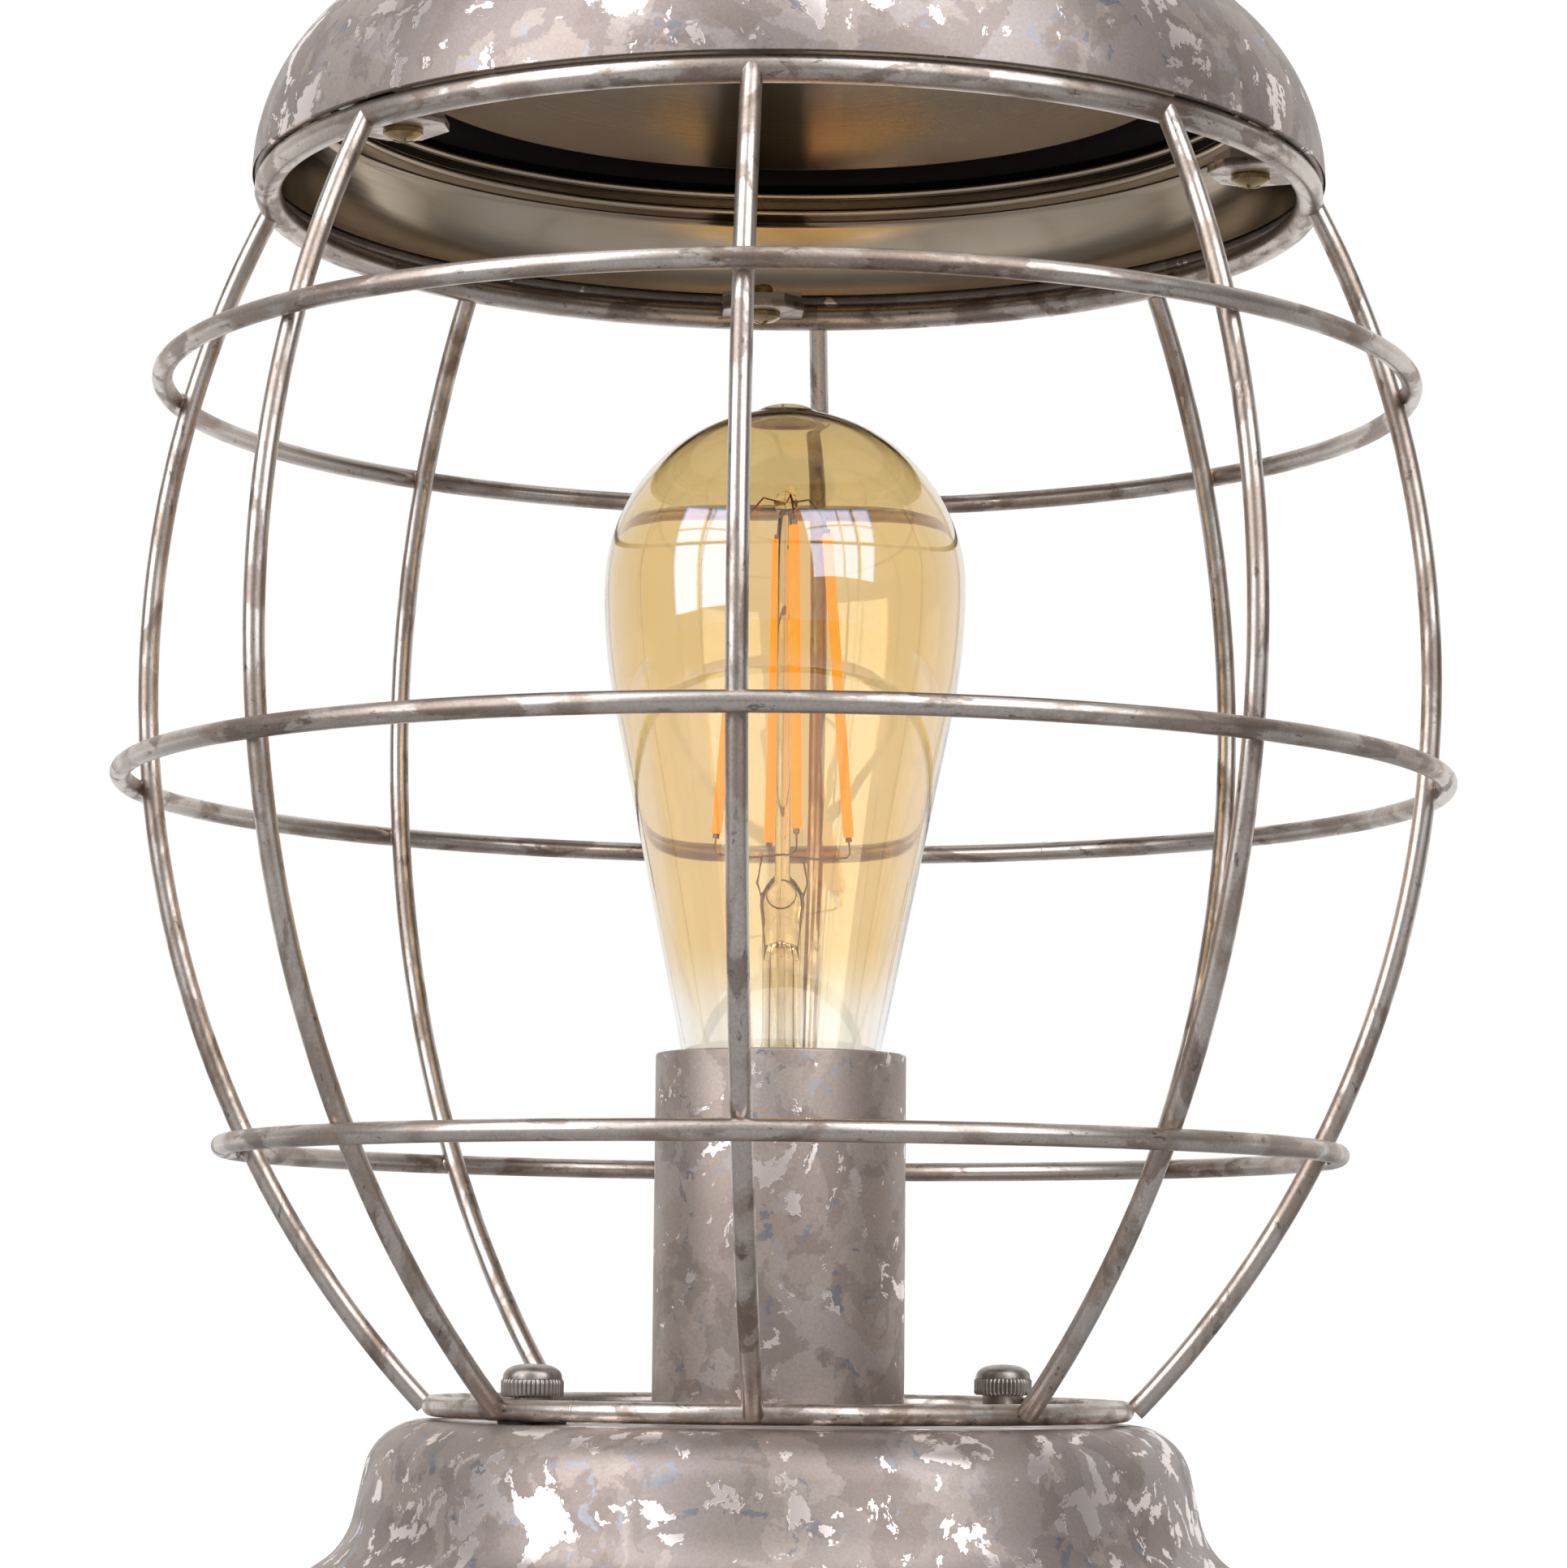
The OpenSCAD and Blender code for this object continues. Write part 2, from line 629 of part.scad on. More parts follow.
// Brass spring tongue that rises from the socket's floor to the bulb's contact
module socket_contact() color("#c9a24a") {
    rise = contact_space - fit_gap - tongue_t;
    foot_y = shell_hole_r - tongue_gap;
    translate([0, 0, socket_floor_z]) rotate([90, 0, 90])
        translate([0, 0, -tongue_w / 2]) linear_extrude(tongue_w)
            polygon([
                [foot_y, 0],
                [foot_y, tongue_t],
                [foot_y - tongue_foot_l, tongue_t],
                [tongue_tip_y, rise + tongue_t],
                [-tongue_tip_y, rise + tongue_t],
                [-tongue_tip_y, rise],
                [tongue_tip_y - tongue_ramp, rise],
                [foot_y - tongue_foot_l - tongue_ramp, 0]
            ]);
}

// Half section of the bulb's filled form, d inside its outer face
module bulb_section(d) {
    translate([0, bulb_belly_h]) intersection() {
        circle(r = bulb_r - d);
        square(bulb_r);
    }
    flank_low = flank_c + cone_dir * (bulb_flank_r - d);
    neck_high = neck_c + cone_dir * (bulb_neck_turn_r - d);
    intersection() {
        translate(flank_c) circle(r = bulb_flank_r - d, $fn = 360);
        translate([0, flank_low.y]) square([bulb_r, bulb_belly_h - flank_low.y]);
    }
    polygon([[0, neck_high.y], neck_high, flank_low, [0, flank_low.y]]);
    translate(neck_c) circle(r = bulb_neck_turn_r - d);
    translate([0, neck_c.y - bulb_neck_turn_r + d])
        square([neck_c.x, bulb_neck_turn_r - d]);
    translate([0, bulb_neck_low]) square([bulb_neck_r - d, neck_c.y - bulb_neck_low]);
}

module bulb_glass() color("#e2b863", 0.45) {
    translate([0, 0, bulb_z]) rotate_extrude() {
        difference() {
            bulb_section(0);
            bulb_section(bulb_glass_t);
        }
        intersection() {
            translate([0, tip_z]) circle(r = tip_r);
            difference() {
                translate([0, tip_z]) square([tip_r, 2 * tip_r]);
                translate([0, bulb_belly_h]) circle(r = bulb_r - bulb_glass_t / 2);
            }
        }
    }
}

// Screw cap with its rolled thread drawn as rings
module bulb_cap() color("#c4b48c") {
    translate([0, 0, bulb_z]) rotate_extrude() difference() {
        polygon([
            [bulb_cap_in_r, bulb_cap_h],
            [bulb_cap_r, bulb_cap_h],
            [bulb_cap_r, taper_h],
            [lip_r + lip_t, lip_h],
            [lip_r, lip_h],
            [bulb_cap_in_r, taper_h + taper_step]
        ]);
        for (i = [0:thread_count - 1])
            translate([bulb_cap_r + groove_r - groove_depth, thread_low_h + i * thread_pitch])
                circle(r = groove_r);
    }
}

module bulb_insulator() color("#1b1a22") {
    translate([0, 0, bulb_z]) rotate_extrude() polygon([
        [0, button_h],
        [button_r + button_margin, button_h],
        [lip_r - insulator_gap, lip_h],
        [bulb_cap_in_r - 2 * insulator_gap, taper_h + taper_step],
        [0, taper_h + taper_step]
    ]);
}

module bulb_contact() color("#c9c5bb") {
    translate([0, 0, bulb_z]) cylinder(h = button_h, r1 = button_r - button_bevel, r2 = button_r);
}

// Glass foot, pinched bead and post that carry the filaments
module bulb_stem() color("#e8dcc0", 0.6) {
    flare_z = bulb_neck_low + stem_flare_gap;
    translate([0, 0, bulb_z]) {
        translate([0, 0, flare_z])
            cylinder(h = stem_flare_h, r1 = bulb_neck_r - bulb_glass_t - fit_gap, r2 = stem_tube_r);
        translate([0, 0, flare_z + stem_flare_h])
            cylinder(h = stem_bead_h - flare_z - stem_flare_h, r = stem_tube_r);
        translate([0, 0, stem_bead_h]) sphere(r = stem_bead_r);
        translate([0, 0, stem_bead_h]) cylinder(h = stem_top_h - stem_bead_h, r = stem_rod_r);
        translate([0, 0, stem_top_h]) sphere(r = stem_knob_r);
    }
}

function filament_end(i, r, h) =
    let (a = filament_phase + i * 360 / filament_count) [r * cos(a), r * sin(a), bulb_z + h];

module bulb_filaments() color("#f08a1e") {
    for (i = [0:filament_count - 1])
        rod(filament_end(i, filament_low_r, filament_low_h),
            filament_end(i, filament_high_r, filament_high_h), filament_d / 2);
}

// Fine wires that join the sticks to each other and to the post
module bulb_wires() color("#6d5a3a") {
    for (i = [0:filament_count - 1]) {
        rod([0, 0, bulb_z + cross_wire_h],
            filament_end(i, filament_low_r + cross_over, cross_wire_h), lead_r);
        rod(filament_end(i, filament_low_r, cross_wire_h),
            filament_end(i, filament_low_r, filament_low_h), lead_r);
        rod([0, 0, bulb_z + stem_top_h], filament_end(i, filament_high_r, filament_high_h), lead_r);
    }
    for (side = [-1, 1])
        rod([side * (stem_bead_r - cross_over), 0, bulb_z + stem_bead_h],
            [side * stem_bead_r, 0, bulb_z + cross_wire_h], lead_r);
}

// Headed studs pressed up through the base's flat top
module cage_studs() color("#9c9a96") {
    for (a = nut_angles) rotate(a) translate([nut_r, 0, 0]) {
        translate([0, 0, base_top_z - shell_wall - stud_head_h])
            cylinder(h = stud_head_h, r = stud_head_r);
        translate([0, 0, base_top_z - shell_wall])
            cylinder(h = stud_top_z - base_top_z + shell_wall, r = stud_r);
    }
}

module fibre_washers() color("#2b2522") {
    for (a = nut_angles) rotate(a) translate([nut_r, 0, 0])
        washer(fibre_washer_d, stud_d + 2 * fit_gap, fibre_washer_t, base_top_z);
}

// Star outline of the straight knurling
module knurl_outline() {
    steps = 2 * knurl_count;
    polygon([for (i = [0:steps - 1])
        let (r = i % 2 == 0 ? thumb_nut_r : thumb_nut_r - knurl_depth, a = i * 360 / steps)
        [r * cos(a), r * sin(a)]]);
}

// Domed thumb nut: a waist that drops inside the ring, a knurled band and a dome
module thumb_nut(a) color("#7e7a76") {
    rotate(a) translate([nut_r, 0, 0]) difference() {
        union() {
            translate([0, 0, low_tab_top_z])
                cylinder(h = nut_band_z - low_tab_top_z + cut, r = nut_waist_r);
            translate([0, 0, nut_band_z]) linear_extrude(knurl_h) knurl_outline();
            translate([0, 0, nut_band_z + knurl_h]) rotate_extrude() intersection() {
                translate([0, thumb_dome_h - dome_r]) circle(r = dome_r);
                square([thumb_nut_r, thumb_dome_h]);
            }
        }
        translate([0, 0, low_tab_top_z - cut])
            cylinder(h = nut_bore_top_z - low_tab_top_z + cut, r = stud_r + nut_play);
    }
}

module thumb_nut_right() thumb_nut(nut_angles[0]);

module thumb_nut_left() thumb_nut(nut_angles[1]);

module low_ring() color("#8f8a86") wire_ring(low_ring_r, low_ring_d, ring_z);

module top_ring() color("#8f8a86") wire_ring(top_ring_r, top_ring_d, top_ring_z);

module low_hoop() color("#857c77") wire_ring(hoop_r(low_hoop_h), hoop_d, ring_z + low_hoop_h);

module middle_hoop() color("#857c77") wire_ring(hoop_r(mid_hoop_h), hoop_d, ring_z + mid_hoop_h);

module top_hoop() color("#857c77") wire_ring(hoop_r(top_hoop_h), hoop_d, ring_z + top_hoop_h);

// One upright: a true arc from the lower ring over the belly to the upper ring
module cage_wire(i) color("#8b8480") {
    rotate(-90 + (i - 1) * 360 / wire_count)
        translate([arc_x, 0, ring_z + arc_z]) rotate([90, 0, 0]) rotate(foot_angle)
            rotate_extrude(angle = head_angle + head_over_angle - foot_angle)
                translate([arc_r, 0]) circle(d = wire_d);
}

// Tabs welded inside the lower ring, each with a hole over its stud
module low_tabs() color("#8a847f") {
    for (a = nut_angles) rotate(a) translate([0, 0, low_tab_z]) difference() {
        union() {
            translate([nut_r, -low_tab_w / 2, 0])
                cube([low_tab_out_r - nut_r, low_tab_w, tab_t]);
            translate([nut_r, 0, 0]) cylinder(h = tab_t, d = low_tab_w);
        }
        translate([nut_r, 0, -cut]) cylinder(h = tab_t + 2 * cut, r = stud_r + hole_play);
    }
}

// Plate with two corners cut off, pointing inwards from radius out_r
module corner_cut_plate(in_r, out_r, w, t) {
    corner = w / 4;
    linear_extrude(t) polygon([
        [out_r, -w / 2],
        [out_r, w / 2],
        [in_r + corner, w / 2],
        [in_r, w / 2 - corner],
        [in_r, corner - w / 2],
        [in_r + corner, -w / 2]
    ]);
}

module top_tabs() color("#8a847f") {
    for (a = top_tab_angles) rotate(a) translate([0, 0, top_tab_z]) difference() {
        corner_cut_plate(top_tab_in_r, top_tab_out_r, top_tab_w, tab_t);
        translate([cap_screw_r, 0, -cut])
            cylinder(h = tab_t + 2 * cut, r = cap_screw_d / 2 + hole_play);
    }
}

module cap_shell() color("#8d8580") {
    difference() {
        spun_shell(cap_rim_z);
        translate([0, 0, cap_top_z - 2 * shell_wall])
            cylinder(h = 4 * shell_wall, d = post_d + 2 * fit_gap);
    }
}

// Half section of a sheet bent along a circle, its concave face at radius r
module bent_section(centre, r) {
    translate(centre) difference() {
        circle(r = r + reflector_t);
        circle(r = r);
    }
}

// Half section of the reflector: skirt wall, shelf, band with two beads, channel and domed middle
module reflector_section() {
    intersection() {
        bent_section(skirt_c, reflector_reach - reflector_t);
        translate([skirt_c.x, reflector_foot_h])
            square([skirt_r, reflector_band_h + reflector_t - reflector_foot_h]);
    }
    translate([reflector_band_r, reflector_band_h])
        square([reflector_shelf_r - reflector_band_r, reflector_t]);
    translate([reflector_band_r, reflector_band_h])
        square([reflector_t, reflector_edge_h - reflector_band_h]);
    for (h = [reflector_band_h + reflector_bead_step, reflector_edge_h - 2 * reflector_bead_step])
        translate([reflector_band_r, h]) circle(r = reflector_bead_r);
    intersection() {
        bent_section(channel_c, channel_arc_r);
        translate([reflector_mid_r - reflector_t, reflector_edge_h])
            square([reflector_channel_w + 2 * reflector_t, reflector_channel_h + reflector_t]);
    }
    intersection() {
        bent_section(reflector_dome_c, reflector_dome_r);
        translate([0, reflector_edge_h])
            square([reflector_mid_r, reflector_dome_rise + reflector_t]);
    }
}

// Spun reflector of bright steel, held in the cap by the rolled hem
module cap_reflector() color("#a39a8c") {
    translate([0, 0, cap_rim_z]) rotate_extrude() reflector_section();
}

// Joggled brackets welded to the cap's hem, lying on the tabs
module cap_brackets() color("#9a948f") {
    for (a = top_tab_angles) rotate(a) difference() {
        union() {
            translate([0, 0, bracket_z])
                corner_cut_plate(top_tab_in_r + bracket_step, bracket_out_r, top_tab_w, tab_t);
            translate([bracket_out_r - tab_t, -top_tab_w / 2, bracket_z])
                cube([tab_t, top_tab_w, bracket_foot_z + tab_t - bracket_z]);
            translate([0, 0, bracket_foot_z]) intersection() {
                cylinder(h = tab_t, r = bracket_foot_r);
                translate([bracket_out_r - tab_t, -top_tab_w / 2, 0])
                    cube([bracket_foot_r, top_tab_w, tab_t]);
            }
        }
        translate([cap_screw_r, 0, bracket_z - cut])
            cylinder(h = tab_t + 2 * cut, r = cap_screw_d / 2 + fit_gap);
    }
}

// Brass pan-head screws, driven up through tab and bracket
module cap_screws() color("#c8a25a") {
    for (a = top_tab_angles) rotate(a) translate([cap_screw_r, 0, 0]) {
        translate([0, 0, top_tab_z]) cylinder(h = cap_screw_top_z - top_tab_z, d = cap_screw_d);
        translate([0, 0, top_tab_z - cap_screw_head_h]) difference() {
            intersection() {
                cylinder(h = cap_screw_head_h, d = cap_screw_head_d);
                translate([0, 0, cap_screw_dome_r]) sphere(r = cap_screw_dome_r);
            }
            for (turn = [0, 90]) rotate(turn)
                translate([-recess_l / 2, -recess_w / 2, -cut])
                    cube([recess_l, recess_w, cut + cap_screw_head_h / 2]);
        }
    }
}

// Threaded post with a collar and an eye for the carrying ring
module ring_post() color("#8a847f") {
    translate([0, 0, cap_top_z]) rotate_extrude() {
        square([collar_r - collar_h / 2, collar_h]);
        intersection() {
            translate([collar_r - collar_h, 0]) circle(r = collar_h);
            square([collar_r, collar_h]);
        }
    }
    translate([0, 0, post_end_z]) cylinder(h = cap_top_z - post_end_z + cut, d = post_d);
    translate([0, 0, eye_z]) rotate([0, 90, 0])
        rotate_extrude() translate([eye_r, 0]) circle(r = eye_section_r);
}

module ring_post_washer() color("#a8a49b")
    washer(2 * collar_r, post_d + 2 * fit_gap, post_washer_t, post_washer_z);

module ring_post_nut() color("#a8a49b")
    hex_nut(post_nut_af, post_d + fit_gap, post_nut_t, post_nut_z);

// Round ring lying back on the cap, its wire through the eye
module carrying_ring() color("#8f8a86") {
    translate([0, 0, eye_z]) rotate([-bail_tilt, 0, 0]) translate([0, bail_r, 0])
        rotate_extrude() translate([bail_r, 0]) circle(d = bail_d);
}

base_shell();
base_weight();
felt_pad();
cord_grommet();
lamp_pipe();
pipe_nuts();
pipe_washers();
socket_tube();
socket_body();
socket_screw_shell();
socket_contact();
bulb_glass();
bulb_cap();
bulb_insulator();
bulb_contact();
bulb_stem();
bulb_filaments();
bulb_wires();
cage_studs();
fibre_washers();
thumb_nut_right();
thumb_nut_left();
low_ring();
top_ring();
low_hoop();
middle_hoop();
top_hoop();
low_tabs();
top_tabs();
cap_shell();
cap_reflector();
cap_brackets();
cap_screws();
ring_post();
ring_post_washer();
ring_post_nut();
carrying_ring();
for (i = [1:wire_count]) cage_wire(i);
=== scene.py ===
import json
import math

import bmesh
import bpy
from mathutils import Matrix, Vector, noise


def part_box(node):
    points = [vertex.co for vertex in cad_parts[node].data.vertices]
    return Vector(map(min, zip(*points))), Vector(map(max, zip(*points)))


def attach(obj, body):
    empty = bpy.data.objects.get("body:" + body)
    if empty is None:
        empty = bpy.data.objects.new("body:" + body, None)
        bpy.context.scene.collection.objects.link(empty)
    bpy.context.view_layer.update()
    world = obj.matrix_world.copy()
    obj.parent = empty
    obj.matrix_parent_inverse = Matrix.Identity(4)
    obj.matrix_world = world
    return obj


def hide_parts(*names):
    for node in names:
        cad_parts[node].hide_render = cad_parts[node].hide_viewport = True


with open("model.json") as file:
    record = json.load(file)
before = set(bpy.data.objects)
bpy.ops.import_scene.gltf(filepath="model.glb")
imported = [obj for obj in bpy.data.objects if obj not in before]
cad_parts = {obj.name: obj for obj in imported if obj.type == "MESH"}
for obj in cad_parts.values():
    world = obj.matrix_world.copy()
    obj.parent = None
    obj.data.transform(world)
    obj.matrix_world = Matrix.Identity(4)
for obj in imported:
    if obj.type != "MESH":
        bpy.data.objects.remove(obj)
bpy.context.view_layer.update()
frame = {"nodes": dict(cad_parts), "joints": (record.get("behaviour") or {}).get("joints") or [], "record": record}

bl_info = {
    "name": "Caged lantern",
    "version": (1, 0, 0),
    "blender": (4, 5, 0),
    "location": "3D View > Sidebar > Lantern",
    "description": "Builds the finishes, fine forms and studio of a caged lantern round its fixed frame",
    "category": "Object",
}

MM = 0.001
NODES = frame["nodes"]
WIRES = sorted(n for n in NODES if n.startswith("cage_wire_"))


def linear(hex_colour):
    """Turns an sRGB hex colour into linear red, green and blue."""
    parts = [int(hex_colour[i:i + 2], 16) / 255 for i in (0, 2, 4)]
    return tuple(c / 12.92 if c <= 0.04045 else ((c + 0.055) / 1.055) ** 2.4 for c in parts)


def rgba(colour):
    return (*colour, 1.0)


# Sizes and colours that a user would change

class LanternSizes(bpy.types.PropertyGroup):
    """Fine sizes that the frame leaves open."""

    weld_bead: bpy.props.FloatProperty(
        name="Weld bead", description="Half length of the bead where two wires are welded",
        default=1.35 * MM, min=0.0005, max=0.003, unit="LENGTH")
    seam_width: bpy.props.FloatProperty(
        name="Butt seam", description="Width of the ground seam where a ring's wire is joined",
        default=1.1 * MM, min=0.0005, max=0.003, unit="LENGTH")
    plate_bevel: bpy.props.FloatProperty(
        name="Plate bevel", description="Width of the broken edge on stamped plates",
        default=0.18 * MM, min=0.0, max=0.0005, unit="LENGTH")
    glass_wall: bpy.props.FloatProperty(
        name="Glass wall", description="Thickness of the blown bulb",
        default=0.9 * MM, min=0.0005, max=0.0015, unit="LENGTH")
    thread_pitch: bpy.props.FloatProperty(
        name="Cap thread pitch", description="Rise of one turn of the bulb cap's rolled thread",
        default=3.63 * MM, min=0.003, max=0.004, unit="LENGTH")
    flake_size: bpy.props.FloatProperty(
        name="Flake size", description="Usual width of a patch of bare zinc on the sheet",
        default=13 * MM, min=0.005, max=0.03, unit="LENGTH")


class LanternColours(bpy.types.PropertyGroup):
    """Colours of the main finishes."""

    coat: bpy.props.FloatVectorProperty(
        name="Coat", description="Taupe tone of the aged zinc", subtype="COLOR", size=3,
        default=linear("9c8f88"), min=0.0, max=1.0)
    coat_pale: bpy.props.FloatVectorProperty(
        name="Pale coat", description="Lighter tone of the aged zinc", subtype="COLOR", size=3,
        default=linear("b3a9a4"), min=0.0, max=1.0)
    coat_brown: bpy.props.FloatVectorProperty(
        name="Brown coat", description="Browner tone of the aged zinc", subtype="COLOR", size=3,
        default=linear("887970"), min=0.0, max=1.0)
    bare_zinc: bpy.props.FloatVectorProperty(
        name="Bare zinc", description="Bright metal of the flakes", subtype="COLOR", size=3,
        default=linear("ebddd5"), min=0.0, max=1.0)
    glass: bpy.props.FloatVectorProperty(
        name="Amber glass", description="Tint of the bulb's coated glass", subtype="COLOR", size=3,
        default=linear("f1e0bb"), min=0.0, max=1.0)
    filament: bpy.props.FloatVectorProperty(
        name="Filament", description="Orange of the filament sticks", subtype="COLOR", size=3,
        default=linear("ffa01e"), min=0.0, max=1.0)


# Shader helpers

def add(tree, kind, links=None, **settings):
    """Adds a shader node. Settings name its properties; links give a socket its source or value."""
    made = tree.nodes.new(kind)
    for key, value in settings.items():
        setattr(made, key, value)
    for key, value in (links or {}).items():
        if isinstance(value, bpy.types.NodeSocket):
            tree.links.new(value, made.inputs[key])
        else:
            made.inputs[key].default_value = value
    return made


def new_material(name, constants):
    """A material with one Principled shader, and the numbers that are the same all over it."""
    material = bpy.data.materials.new(name)
    material.use_nodes = True
    tree = material.node_tree
    shader = tree.nodes["Principled BSDF"]
    for key, value in constants.items():
        shader.inputs[key].default_value = value
    return material, tree, shader


def millimetres(tree, shift):
    """Object coordinates counted in millimetres, moved by shift so that pieces differ."""
    place = add(tree, "ShaderNodeTexCoord").outputs["Object"]
    scaled = add(tree, "ShaderNodeVectorMath", {0: place, 3: 1 / MM}, operation="SCALE")
    moved = add(tree, "ShaderNodeVectorMath", {0: scaled.outputs[0], 1: shift}, operation="ADD")
    return moved.outputs[0]


def layered(tree, under, layers):
    """A colour with others laid over it in turn: each has its mask, how much of it shows, and its tone."""
    for mask, amount, over in layers:
        part = add(tree, "ShaderNodeMath", {0: mask, 1: amount}, operation="MULTIPLY")
        laid = add(tree, "ShaderNodeMix", {0: part.outputs[0], 6: under, 7: rgba(over)}, data_type="RGBA")
        under = laid.outputs[2]
    return under


def axis_distance(tree, ways):
    """Distance from the Z axis of coordinates that were split into their parts."""
    flat = add(tree, "ShaderNodeCombineXYZ", {0: ways.outputs["X"], 1: ways.outputs["Y"]})
    return add(tree, "ShaderNodeVectorMath", {0: flat.outputs[0]}, operation="LENGTH").outputs["Value"]


def surface(tree, shader, colour, roughness=None, relief=None, strength=0.0, depth_mm=0.0):
    """Links what nearly all finishes end with: their colour, their roughness and a shallow relief."""
    tree.links.new(colour, shader.inputs["Base Color"])
    if roughness is not None:
        tree.links.new(roughness, shader.inputs["Roughness"])
    if relief is not None:
        bump = add(tree, "ShaderNodeBump", {
            "Height": relief, "Strength": strength, "Distance": depth_mm * MM})
        tree.links.new(bump.outputs["Normal"], shader.inputs["Normal"])


def patch_maker(tree, at, chip_mm):
    """Gives a function that makes masks of torn patches. Chips of under a millimetre give every patch
    its fine jagged edge."""
    jag_share = 0.8
    chip = add(tree, "ShaderNodeTexVoronoi", {"Vector": at, "Scale": 1 / chip_mm}, feature="F1")
    centred = add(tree, "ShaderNodeVectorMath", {0: chip.outputs["Color"], 1: (0.5, 0.5, 0.5)},
                  operation="SUBTRACT")
    jag = add(tree, "ShaderNodeVectorMath", {0: centred.outputs[0], 3: jag_share * chip_mm},
              operation="SCALE")
    rough_at = add(tree, "ShaderNodeVectorMath", {0: at, 1: jag.outputs[0]}, operation="ADD").outputs[0]

    def patches(offset, size_mm, start, width=0.008, detail=3.0, roughness=0.5, distortion=0.8):
        """Patches about size_mm across, where the noise passes start, with an edge as soft as width."""
        moved_at = add(tree, "ShaderNodeVectorMath", {0: rough_at, 1: offset}, operation="ADD")
        field = add(tree, "ShaderNodeTexNoise", {
            "Vector": moved_at.outputs[0], "Scale": 1 / size_mm, "Detail": detail, "Roughness": roughness,
            "Distortion": distortion})
        return add(tree, "ShaderNodeMapRange", {
            "Value": field.outputs["Fac"], "From Min": start, "From Max": start + width}).outputs["Result"]

    return patches


def aged_zinc(name, coat, shift, flake_mm, flake_start, contrast):
    """Galvanised steel sheet, hot dipped and aged: a matt taupe coat with crisp flakes of bright zinc.

    The coat gives broad soft highlights, and the flakes mirror the studio. A higher flake_start leaves
    fewer flakes, and contrast is how strongly the coat's tones differ."""
    colours = bpy.context.scene.lantern_colours
    material, tree, shader = new_material(name, {})
    at = millimetres(tree, shift)
    patches = patch_maker(tree, at, 0.75)
    warm = patches((11, 3, 29), 4 * flake_mm, 0.4, 0.2)
    pale = patches((31, 7, 53), 2 * flake_mm, 0.52, 0.02)
    beige = patches((5, 71, 13), 1.2 * flake_mm, 0.56)
    brown = patches((83, 29, 3), 1.6 * flake_mm, 0.54)
    umber = patches((19, 37, 61), 0.9 * flake_mm, 0.6)
    blue = patches((17, 41, 97), 0.5 * flake_mm, 0.64, 0.012, 3.0, 0.5, 1.4)
    large = patches((61, 11, 37), flake_mm, flake_start, 0.006, 4.0, 0.55)
    small = patches((43, 89, 23), 0.45 * flake_mm, flake_start + 0.03, 0.006, 3.0, 0.55)
    flake = add(tree, "ShaderNodeMath", {0: large, 1: small}, operation="MAXIMUM").outputs[0]
    # Painted shade: a darker line just outside each flake, where the coat steps down to the zinc
    rim = patches((61, 11, 37), flake_mm, flake_start - 0.015, 0.006, 4.0, 0.55)
    tone = layered(tree, rgba(coat), [
        (warm, 0.5 * contrast, linear("a89a8b")), (pale, 0.6 * contrast, colours.coat_pale),
        (brown, 0.65 * contrast, colours.coat_brown), (beige, 0.55 * contrast, linear("b9ab9e")),
        (umber, 0.45 * contrast, linear("83756c")), (rim, 0.3 * contrast, linear("83766f")),
        (blue, 0.7 * contrast, linear("7c838e"))])
    # Speckle of the coat's grain, drawn at 0.5 mm so that it shows
    grain = add(tree, "ShaderNodeTexNoise", {"Vector": at, "Scale": 1 / 0.5, "Detail": 2.0})
    shade = add(tree, "ShaderNodeMapRange", {
        "Value": grain.outputs["Fac"], "From Min": 0.3, "From Max": 0.7, "To Min": 0.92, "To Max": 1.07})
    speckled = add(tree, "ShaderNodeVectorMath", {0: tone, 3: shade.outputs["Result"]}, operation="SCALE")
    colour = layered(tree, speckled.outputs[0], [(flake, 1.0, colours.bare_zinc)])
    metal = add(tree, "ShaderNodeMapRange", {"Value": flake, "To Min": 0.7, "To Max": 0.8})
    tree.links.new(metal.outputs["Result"], shader.inputs["Metallic"])
    # Bare zinc is smoothest, and the blue marks lie between it and the coat
    glint = add(tree, "ShaderNodeMath", {0: blue, 1: 0.6}, operation="MULTIPLY").outputs[0]
    smooth = add(tree, "ShaderNodeMath", {0: glint, 1: flake}, operation="MAXIMUM").outputs[0]
    rough = add(tree, "ShaderNodeMapRange", {"Value": smooth, "To Min": 0.46, "To Max": 0.24})
    # The coat stands a few hundredths of a millimetre proud of the bare flakes
    crust = add(tree, "ShaderNodeMath", {0: grain.outputs["Fac"], 1: 0.25, 2: 1.0},
                operation="MULTIPLY_ADD").outputs[0]
    coated = add(tree, "ShaderNodeMath", {0: 1.0, 1: flake}, operation="SUBTRACT").outputs[0]
    relief = add(tree, "ShaderNodeMath", {0: crust, 1: coated}, operation="MULTIPLY").outputs[0]
    surface(tree, shader, colour, rough.outputs["Result"], relief, 0.35, 0.04)
    return material


